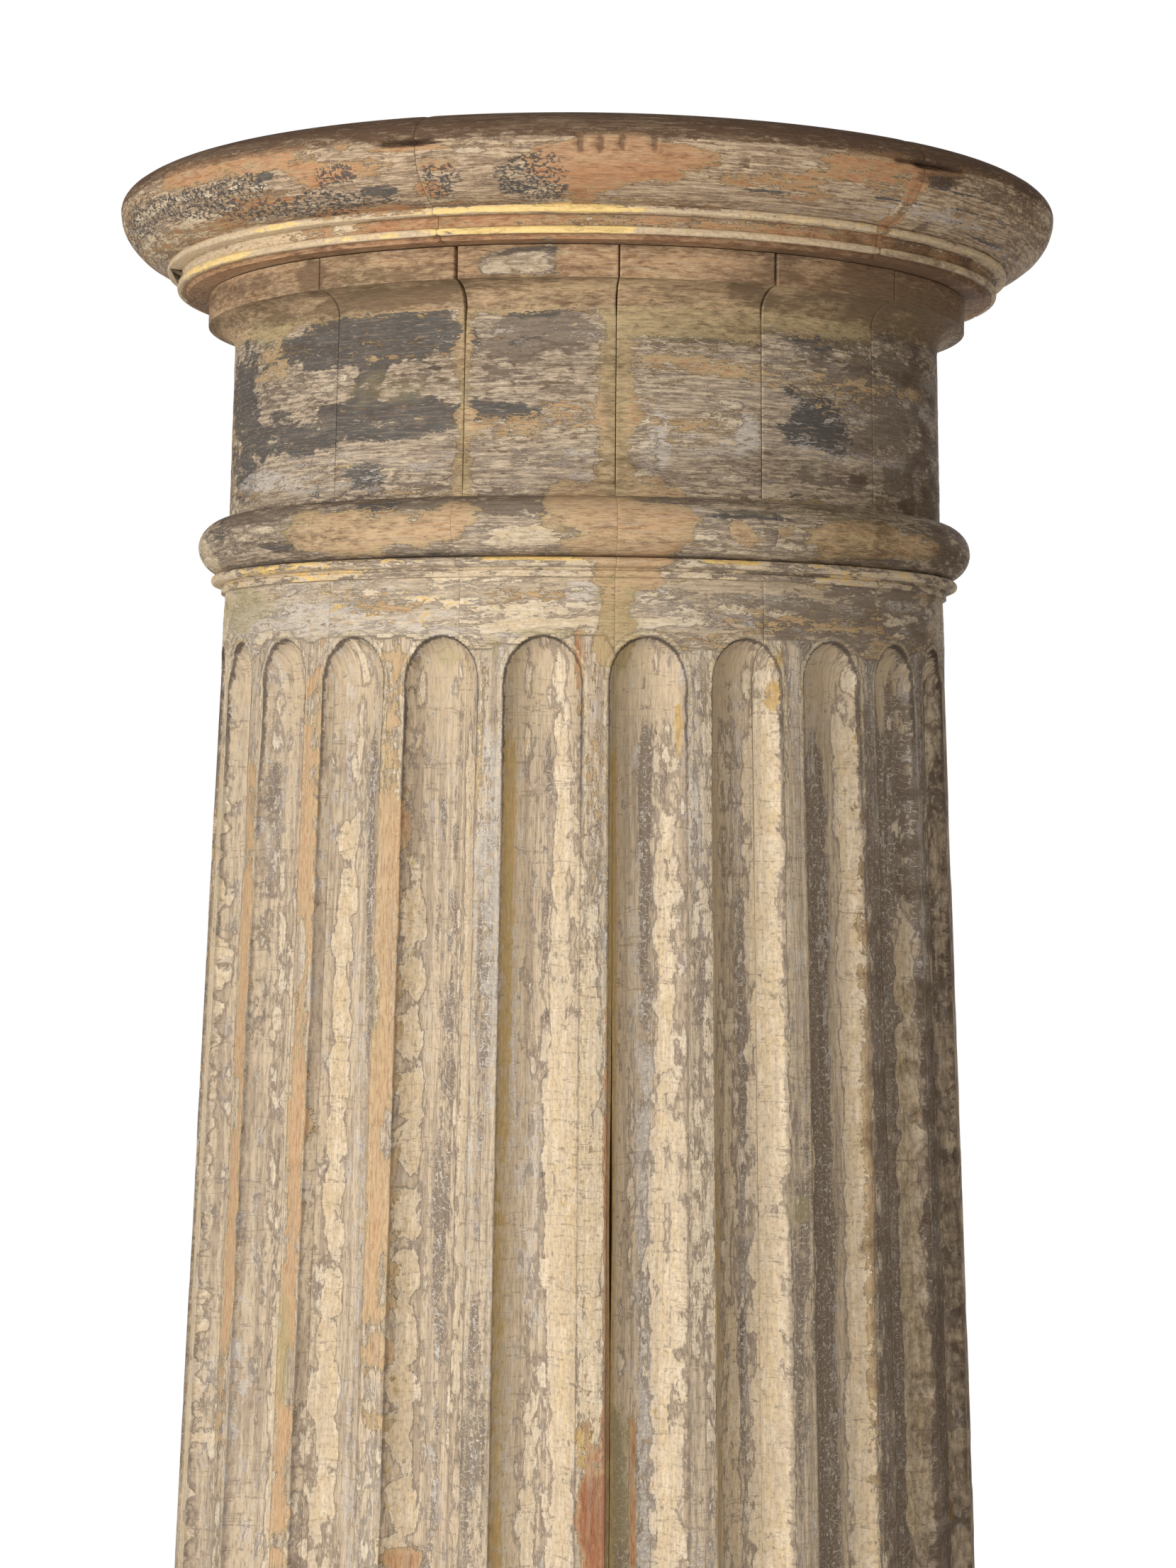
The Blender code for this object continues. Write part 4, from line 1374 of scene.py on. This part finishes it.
@dataclass
class Staves:
    """The sixteen fluted boards that stand side by side round the hollow core."""

    turning: Turning
    weathering: Weathering
    material: bpy.types.Material
    count: int = 16
    first_joint: float = 4.5
    gap: float = 0.0003
    edge: float = 0.0007
    moulding_step: float = 0.0018
    head_step: float = 0.0014
    upper_step: float = 0.0036
    lower_step: float = 0.0130
    detail_level: float = 1.55
    below_head: float = 0.004
    above_head: float = 0.002
    flute_steps: int = 28
    rib_step: float = 0.60
    joint_margin: float = 0.35
    roll_share: float = 0.35
    back_steps: float = 1.6
    board_offset: float = 3.7
    rim_from: float = 2.03
    rim_over: float = 0.06
    plain_lit_head_from: float = 2.06
    plain_lit_head_over: float = 0.05
    band_overlap: float = 0.006
    band_wander: float = 0.010
    behind_from: float = -0.05
    split_level: float = 1.80

    def profile(self, coarse: float) -> tuple[Array, Array]:
        """Outline of a stave over its ribs, from the foot to the top.

        Args:
            coarse: How many times longer its steps are than at the front.

        Returns:
            Rows of radius and level, and the zone of each row.
        """
        t = self.turning
        head_foot = t.flute_top - t.flute_head - self.below_head
        head_top = t.flute_top + self.above_head
        level = np.concatenate([
            np.arange(0.0, self.detail_level, self.lower_step),
            np.arange(self.detail_level, head_foot, self.upper_step * coarse),
            np.arange(head_foot, head_top, self.head_step * coarse),
            np.arange(head_top, t.listel_bottom, self.moulding_step * coarse)])
        lines = [np.stack([t.shaft_radius(level), level], axis=1)]
        zones = [np.where(level < t.flute_top, Zone.FLUTE.value, Zone.BAND.value)]
        for zone, line in self.mouldings():
            lines.append(resample(line, self.moulding_step * coarse))
            zones.append(np.full(len(lines[-1]), zone.value))
        return np.concatenate(lines), np.concatenate(zones)

    def mouldings(self) -> list[tuple[Zone, Array]]:
        """Outline of the mouldings above the shaft.

        Returns:
            Zones with rows of radius and level, going up.
        """
        t = self.turning
        listel_top = t.listel_bottom + t.listel_height
        bead_bottom = listel_top + t.bead_groove
        listel = np.array([(t.listel_radius, t.listel_bottom), (t.listel_radius, listel_top)])
        groove_radius = t.listel_radius - t.groove_depth
        groove = np.array([(groove_radius, listel_top + t.groove_ease), (groove_radius, bead_bottom)])
        swell = t.bead_height / 2.0
        bead = arc(t.bead_radius - swell, bead_bottom + swell, swell, swell, (-60.0, 60.0), 7)
        middle = (t.torus_top + t.torus_bottom) / 2.0
        torus = arc(t.neck_foot_radius, middle, t.torus_projection, t.torus_height / 2.0, (-90.0, 90.0), 25)
        neck = np.array([(t.neck_foot_radius, t.torus_top + t.neck_ease), (t.neck_radius, t.neck_top)])
        reach = t.fillet_radius - t.neck_radius
        cavetto = arc(t.fillet_radius, t.neck_top, reach, t.cavetto_height, (180.0, 90.0), 9)
        fillet = np.array([(t.fillet_radius, t.fillet_bottom), (t.fillet_radius, t.stave_top)])
        return [
            (Zone.BEAD, listel), (Zone.BEAD, groove), (Zone.BEAD, bead), (Zone.TORUS, torus),
            (Zone.NECK, neck), (Zone.CAVETTO, cavetto), (Zone.FILLET, fillet)]

    def angles(self, start: float, width: float) -> Array:
        """Angles of a stave's columns, close together where a flute's wall is steep.

        Args:
            start: Angle of the stave's left joint.
            width: Angle between its joints.

        Returns:
            The angles from joint to joint.
        """
        t = self.turning
        half = t.flute_angle / 2.0
        wall = math.radians(t.flute_wall)
        pitch = 360.0 / t.flute_count
        turns = np.linspace(-wall, wall, self.flute_steps + 1)
        found = []
        first = math.floor((start - half - t.first_flute) / pitch)
        for number in range(first, first + 5):
            centre = t.first_flute + pitch * number
            found.append(centre + half * np.sin(turns) / math.sin(wall))
            rib_end = centre + pitch - half - 0.3 * self.rib_step
            found.append(np.arange(centre + half + self.rib_step, rib_end, self.rib_step))
        every = np.concatenate(found)
        inside = (every > start + self.joint_margin) & (every < start + width - self.joint_margin)
        return np.sort(every[inside])

    def build(self, number: int) -> bpy.types.Object:
        """Builds one stave.

        Args:
            number: The stave's number, from one.

        Returns:
            The piece.
        """
        t = self.turning
        width = 360.0 / self.count
        start = self.first_joint + width * (number - 1)
        behind = math.cos(math.radians(start + width / 2.0)) < self.behind_from
        profile, row_zone = self.profile(self.back_steps if behind else 1.0)
        radius, z = profile[:, :1], profile[:, 1:]
        run = lengths(profile)[:, None]
        left_gap, left_roll = self.opening(start, z)
        right_gap, right_roll = self.opening(start + width, z)
        left = start + np.degrees(left_gap / radius)
        right = start + width - np.degrees(right_gap / radius)
        left_turn, right_turn = np.degrees(left_roll / radius), np.degrees(right_roll / radius)
        inner = self.angles(start, width)
        skin = np.concatenate([
            left, left + self.roll_share * left_turn, left + left_turn,
            np.broadcast_to(inner, (len(profile), len(inner))),
            right - right_turn, right - self.roll_share * right_turn, right], axis=1)
        skin = np.sort(np.clip(skin, left, right), axis=1)
        level = np.broadcast_to(z, skin.shape)
        surface = self.surface(skin, level, np.broadcast_to(run, skin.shape), row_zone)
        fields = self.weathering.fields(surface)
        depth = np.where(level < t.listel_bottom, t.flute_drop(skin, level), 0.0)
        depth = depth + self.relief(surface, fields)
        edge_drop = np.zeros(skin.shape)
        edge_drop[:, :2] = left_roll * (1.0, self.roll_share)
        edge_drop[:, -2:] = right_roll * (self.roll_share, 1.0)
        outer = around(radius - depth - edge_drop, skin, level)
        bore = t.bore_radius(z)
        pull = np.degrees(self.gap / 2.0 / bore)
        bore_left = around(bore, start + pull, z)
        bore_right = around(bore, start + width - pull, z)
        points = np.concatenate([bore_left, outer, bore_right, bore_left], axis=1)
        u = np.radians(skin) * t.neck_radius
        u = np.concatenate([u[:, :1] - t.wall, u, u[:, -1:] + t.wall, u[:, -1:] + 3.0 * t.wall], axis=1)
        uv = np.stack([u, np.broadcast_to(run, u.shape)], axis=-1)
        return Sheet(points, self.attributes(fields, surface, number), uv).build(f"stave_{number:02d}_board")

    def surface(self, skin: Array, level: Array, run: Array, row_zone: Array) -> Surface:
        """Works out what the weathering needs to know of a stave's outer skin.

        Args:
            skin: Angles of the points.
            level: Their levels.
            run: Their lengths along the outline.
            row_zone: The zone of each row.

        Returns:
            The surface.
        """
        t = self.turning
        arris = t.arris(skin, level)
        zone = np.broadcast_to(row_zone[:, None], skin.shape)
        zone = np.where((zone == Zone.FLUTE.value) & (arris > 0.0), Zone.RIB.value, zone)
        wander = Noise(640, 0.030, 0.020).at(skin, level)
        over = level > t.flute_top - self.band_overlap + self.band_wander * wander
        zone = np.where(over & (zone == Zone.RIB.value), Zone.BAND.value, zone)
        half = np.maximum(t.flute_angle / 2.0 * t.head_scale(level), 0.5)
        across = np.clip(t.flute_offset(skin) / half, -1.0, 1.0)
        return Surface(skin, level, run, zone, across, arris, t.flute_number(skin))

    def attributes(self, fields: dict[Layer, Array], surface: Surface, number: int) -> dict[str, Array]:
        """Numbers that the stave's mesh carries for its material, with plain wood in the joints and the bore.

        Args:
            fields: The layers' fields over the outer skin.
            surface: The outer skin's points.
            number: The stave's number.

        Returns:
            Values by attribute name, over all columns.
        """
        hidden = {Layer.BARE: 1.0, Layer.GRIME_AND_SHADE: 0.5}
        result = {layer.value: margin(values, hidden.get(layer, 0.0)) for layer, values in fields.items()}
        level = (~surface.on_shaft).astype(float)
        result["level_grain"] = margin(level, level[:, :1])
        result["board"] = np.full(result["level_grain"].shape, number * self.board_offset)
        result["arris"] = margin(np.where(surface.z < self.turning.listel_bottom, surface.arris, 1.0), 1.0)
        rim = 0.45 + 0.55 * np.clip((surface.z - self.rim_from) / self.rim_over, 0.0, 1.0)
        result["rim"] = margin(rim, 1.0)
        # The flute heads, and the left walls of the flutes from the first one rightwards, get a lighter plain
        # tone: painted light against the shade there, and on the heads their own plain beige.
        head = np.clip((surface.z - self.plain_lit_head_from) / self.plain_lit_head_over, 0.0, 1.0)
        head = head * np.clip(-surface.arris / 0.005, 0.0, 1.0)
        wall = np.clip((-0.35 - surface.across) / 0.30, 0.0, 1.0) * (surface.flute >= 0)
        plain_and_lit = np.where(surface.on(Zone.FLUTE), np.maximum(0.80 * head, 0.55 * wall), 0.0)
        result["plain_and_lit"] = margin(np.where(surface.on(Zone.BAND), 0.45, plain_and_lit), 0.0)
        return result

    def opening(self, joint: float, z: Array) -> tuple[Array, Array]:
        """How far a joint has opened, and how much its edges are worn round, in metres.

        Args:
            joint: The joint's angle.
            z: Levels.

        Returns:
            Half the gap, and the edge's rounding, at each level.
        """
        t = self.turning
        joint = (joint + 180.0) % 360.0 - 180.0
        drift = Noise(500 + int(joint * 2.0) % 97, 0.3, 0.15).at(np.full(z.shape, joint), z)
        upper = np.clip((z - t.neck_top + 0.012) / 0.012, 0.0, 1.0)
        neck = np.clip((z - t.torus_top) / 0.01, 0.0, 1.0) * 0.4
        shaft = np.where(z < t.listel_bottom, np.clip(drift, 0.0, 1.0) * 0.5, 0.0)
        share = np.maximum(np.maximum(upper, neck), shaft)
        gap = 0.00005 + 0.00040 * share
        if abs(joint - self.first_joint) < 0.1:
            share = np.where(z < t.listel_bottom, 0.02, share)
            gap = gap + 0.0009 * np.exp(-((z - self.split_level) / 0.055) ** 2)
        for open_joint, wide, foot in ((-18.0, 0.0005, 2.31), (27.0, 0.0004, 2.33)):
            if abs(joint - open_joint) < 0.1:
                gap = gap + wide * np.clip((z - foot) / 0.02, 0.0, 1.0)
        return gap, 0.00012 + self.edge * share

    def relief(self, surface: Surface, fields: dict[Layer, Array]) -> Array:
        """Small ups and downs of the worn surface.

        Args:
            surface: The points.
            fields: The layers' fields.

        Returns:
            Depth below the true surface.
        """
        upright = Noise(701, 0.006, 0.120).at(surface.angle, surface.z)
        level = Noise(702, 0.120, 0.006).at(surface.angle, surface.z)
        grain = np.where(surface.on_shaft, upright, level)
        nick = Noise(703, 0.012, 0.030).at(surface.angle, surface.z)
        near = np.exp(-(surface.arris / 0.0022) ** 2)
        return 0.00012 * (grain + 1.0) + flaking(fields) + 0.0009 * near * np.clip(nick, 0.0, 1.0)


@dataclass(frozen=True)
class Hurt:
    """A slot or gouge in the ring's face, in degrees and metres."""

    angle: float
    level: float
    half_angle: float
    half_height: float
    depth: float


@dataclass
class CapRing:
    """The six blocks of the turned ring on top."""

    section: CapSection
    weathering: Weathering
    material: bpy.types.Material
    base: float
    top: float
    count: int = 6
    first_joint: float = -19.0
    gap: float = 0.0003
    step: float = 0.0013
    columns: int = 190
    back_step: float = 0.0022
    back_columns: int = 110
    plain_step: float = 0.012
    behind_from: float = 0.1
    joint_wear: float = 0.0011
    joint_wear_reach: float = 0.0016
    middle_radius: float = 0.28
    board_offset: float = 2.3
    first_board: float = 70.0
    hurts: tuple[Hurt, ...] = (
        Hurt(-19.3, 2.4190, 3.4, 0.0016, 0.0060), Hurt(42.0, 2.4205, 4.2, 0.0018, 0.0070),
        Hurt(-0.9, 2.4165, 0.35, 0.0050, 0.0016), Hurt(1.2, 2.4155, 0.45, 0.0050, 0.0016),
        Hurt(3.6, 2.4160, 0.45, 0.0045, 0.0014), Hurt(7.0, 2.4165, 0.40, 0.0040, 0.0014),
        Hurt(17.5, 2.4085, 0.45, 0.0050, 0.0014), Hurt(-3.5, 2.4150, 0.30, 0.0030, 0.0010))

    def profile(self, step: float) -> tuple[Array, Array]:
        """Closed outline of the ring, finely divided.

        Args:
            step: Longest step on the faces that show.

        Returns:
            Rows of radius and level, and the zone of each row.
        """
        lines, zones = [], []
        for zone, line in self.section.outline(self.base, self.top):
            plain = zone in (Zone.HIDDEN, Zone.CAP_TOP)
            lines.append(resample(line, self.plain_step if plain else step))
            zones.append(np.full(len(lines[-1]), zone.value))
        profile = np.concatenate(lines)
        keep = np.concatenate([[True], np.hypot(*np.diff(profile, axis=0).T) > 1e-6])
        return profile[keep], np.concatenate(zones)[keep]

    def build(self, number: int) -> bpy.types.Object:
        """Builds one block of the ring.

        Args:
            number: The block's number, from one.

        Returns:
            The piece.
        """
        width = 360.0 / self.count
        start = self.first_joint + width * (number - 1)
        behind = math.cos(math.radians(start + width / 2.0)) < self.behind_from
        profile, row_zone = self.profile(self.back_step if behind else self.step)
        pull = math.degrees(self.gap / 2.0 / self.middle_radius)
        columns = self.back_columns if behind else self.columns
        angle = np.linspace(start + pull, start + width - pull, columns)[:, None]
        shape = (len(angle), len(profile))
        skin = np.broadcast_to(angle, shape)
        run = np.broadcast_to(lengths(profile)[None, :], shape)
        surface = Surface(
            skin, np.broadcast_to(profile[None, :, 1], shape), run, np.broadcast_to(row_zone[None, :], shape),
            across=np.zeros(shape), arris=np.ones(shape), flute=np.zeros(shape, dtype=int))
        fields = self.weathering.fields(surface)
        sink = self.relief(surface, fields)
        along = np.gradient(profile, axis=0)
        normal = np.stack([-along[:, 1], along[:, 0]], axis=1)
        normal /= np.maximum(np.hypot(*normal.T), 1e-9)[:, None]
        radius = profile[None, :, 0] - sink * normal[None, :, 0]
        level = profile[None, :, 1] - sink * normal[None, :, 1]
        points = around(radius, skin, level)
        points = np.concatenate([points, points[:, :1]], axis=1)
        turn = np.radians(skin) * self.middle_radius
        turn = np.concatenate([turn, turn[:, :1]], axis=1)
        run = np.concatenate([run, np.full((shape[0], 1), run.max() + 0.01)], axis=1)
        attributes = {
            layer.value: np.concatenate([values, values[:, :1]], axis=1) for layer, values in fields.items()}
        board = self.first_board + number * self.board_offset
        plain = {"level_grain": 1.0, "arris": 1.0, "rim": 0.0, "plain_and_lit": 0.0, "board": board}
        attributes |= {name: np.full(run.shape, value) for name, value in plain.items()}
        return Sheet(points, attributes, np.stack([turn, run], axis=-1)).build(f"cap_ring_{number}_block")

    def relief(self, surface: Surface, fields: dict[Layer, Array]) -> Array:
        """Small ups and downs of the worn surface.

        Args:
            surface: The points.
            fields: The layers' fields.

        Returns:
            Depth below the true surface.
        """
        grain = Noise(711, 0.150, 0.007).at(surface.angle, surface.run)
        depth = 0.00015 * (grain + 1.0) + flaking(fields)
        ragged = Noise(712, 0.010, 0.006).at(surface.angle, surface.z)
        on_face = surface.on(Zone.CAP_EDGE, Zone.CAP_FACE)
        for hurt in self.hurts:
            x = ((surface.angle - hurt.angle + 180.0) % 360.0 - 180.0) / hurt.half_angle
            y = (surface.z - hurt.level) / hurt.half_height
            inside = np.clip(1.35 - np.hypot(x, y) - 0.35 * ragged, 0.0, 1.0)
            depth += np.where(on_face, hurt.depth * inside, 0.0)
        width = 360.0 / self.count
        place = (surface.angle - self.first_joint) % width
        from_joint = np.minimum(place, width - place) * math.radians(1.0) * self.middle_radius
        worn = np.exp(-from_joint / self.joint_wear_reach) * (0.8 + 0.5 * ragged)
        return depth + np.where(surface.on(Zone.HIDDEN, Zone.CAP_TOP), 0.0, self.joint_wear * worn)


@dataclass(frozen=True)
class Lamp:
    """A square soft light, in metres and watts."""

    name: str
    place: Vector
    size: float
    power: float
    colour: Vector

    def hang(self, target: Vector) -> None:
        """Hangs the light and turns it to a target.

        Args:
            target: The place that it faces.
        """
        data = bpy.data.lights.new(self.name, "AREA")
        data.size = self.size
        data.energy = self.power
        data.color = self.colour
        lamp = bpy.data.objects.new(self.name, data)
        bpy.context.scene.collection.objects.link(lamp)
        lamp.location = self.place
        aim = np.array(target) - np.array(self.place)
        yaw = math.atan2(aim[1], aim[0])
        pitch = math.atan2(aim[2], math.hypot(aim[0], aim[1]))
        lamp.rotation_euler = (math.pi / 2.0 + pitch, 0.0, yaw - math.pi / 2.0)


@dataclass
class Studio:
    """Camera, lights and floor of the picture."""

    eye: Vector = (0.0037, -2.100, 2.0554)
    lens: float = 73.24
    film: float = 36.0
    roll: float = 0.0088
    floor_radius: float = 3.6
    floor_colour: Colour = (0.75, 0.75, 0.74, 1.0)
    seen_colour: Colour = (1.0, 1.0, 1.0, 1.0)
    ambient_colour: Colour = (1.0, 0.93, 0.855, 1.0)
    ambient: float = 0.31
    target: Vector = (0.0, 0.0, 1.9)
    lamps: tuple[Lamp, ...] = (
        Lamp("key", (-2.2, -2.8, 2.10), 2.4, 121.0, (1.0, 0.995, 0.985)),
        Lamp("fill", (0.9, -3.4, 1.9), 2.2, 30.0, (1.0, 0.965, 0.91)),
        Lamp("back", (0.5, 3.0, 2.6), 2.0, 60.0, (1.0, 1.0, 1.0)))

    def camera(self) -> None:
        """Sets a level camera at the photograph's place, leaning a little."""
        data = bpy.data.cameras.new("camera")
        data.sensor_fit = "VERTICAL"
        data.sensor_height = self.film
        data.lens = self.lens
        camera = bpy.data.objects.new("camera", data)
        bpy.context.scene.collection.objects.link(camera)
        camera.location = self.eye
        camera.rotation_euler = (math.pi / 2.0, -self.roll, 0.0)
        bpy.context.scene.camera = camera

    def floor(self) -> None:
        """Lays a pale disc under the column."""
        bpy.ops.object.select_all(action="DESELECT")
        bpy.ops.mesh.primitive_circle_add(vertices=96, radius=self.floor_radius, fill_type="NGON")
        disc = bpy.context.object
        disc.name = "studio_floor"
        material = bpy.data.materials.new("pale floor")
        material.use_nodes = True
        shader = material.node_tree.nodes["Principled BSDF"]
        shader.inputs["Base Color"].default_value = self.floor_colour
        shader.inputs["Roughness"].default_value = 0.8
        disc.data.materials.append(material)

    def world(self) -> None:
        """Shows plain white behind the column and lights it more dimly all round."""
        world = bpy.data.worlds.new("studio")
        bpy.context.scene.world = world
        world.use_nodes = True
        pen = Pen(world.node_tree)
        seen = pen.node("ShaderNodeLightPath").outputs["Is Camera Ray"]
        colour = pen.mix(seen, self.ambient_colour, self.seen_colour)
        strength = pen.spread(seen, 0.0, 1.0, self.ambient, 1.0)
        back = pen.node("ShaderNodeBackground", {"Color": colour, "Strength": strength})
        pen.node("ShaderNodeOutputWorld", {0: back.outputs[0]})

    def build(self) -> None:
        """Sets up the whole studio."""
        self.camera()
        self.floor()
        self.world()
        for lamp in self.lamps:
            lamp.hang(self.target)
        bpy.context.scene.view_settings.view_transform = "Standard"


def dress(piece: bpy.types.Object, material: bpy.types.Material, node: str) -> None:
    """Gives a piece its material, hangs it under the root body and hides the CAD node that it replaces.

    Args:
        piece: The piece.
        material: Its material.
        node: The CAD node that it replaces.
    """
    piece.data.materials.append(material)
    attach(piece, "root")
    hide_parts(node)
    LOG.info("%s: %d faces", piece.name, len(piece.data.polygons))


def main() -> None:
    """Builds the staves, the cap ring and the studio, and reports each piece."""
    logging.basicConfig(level=logging.INFO, format="%(message)s")
    groups = {"peel": peel_group(), "grain": grain_group(), "crackle": crackle_group()}
    paint = OldPaint("old paint on boards").build(groups)
    ring_paint = OldPaint(
        "old paint on ring", beige=tint(194, 171, 142), grey=tint(168, 146, 120), dark=tint(124, 102, 83),
        soot_and_shadow=tint(82, 65, 52), tan=tint(176, 145, 112), orange=tint(175, 131, 94), cream=tint(208, 189, 159),
        yellow=tint(232, 200, 128), grime=tint(80, 56, 40)).build(groups)
    weathering = Weathering()
    staves = Staves(Turning(stave_top=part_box("stave_01")[1].z), weathering, paint)
    for number in range(1, staves.count + 1):
        dress(staves.build(number), staves.material, f"stave_{number:02d}")
    base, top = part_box("cap_ring_1")
    ring = CapRing(CapSection(), weathering, ring_paint, base.z, top.z)
    for number in range(1, ring.count + 1):
        dress(ring.build(number), ring.material, f"cap_ring_{number}")
    Studio().build()


if __name__ == "__main__":
    main()
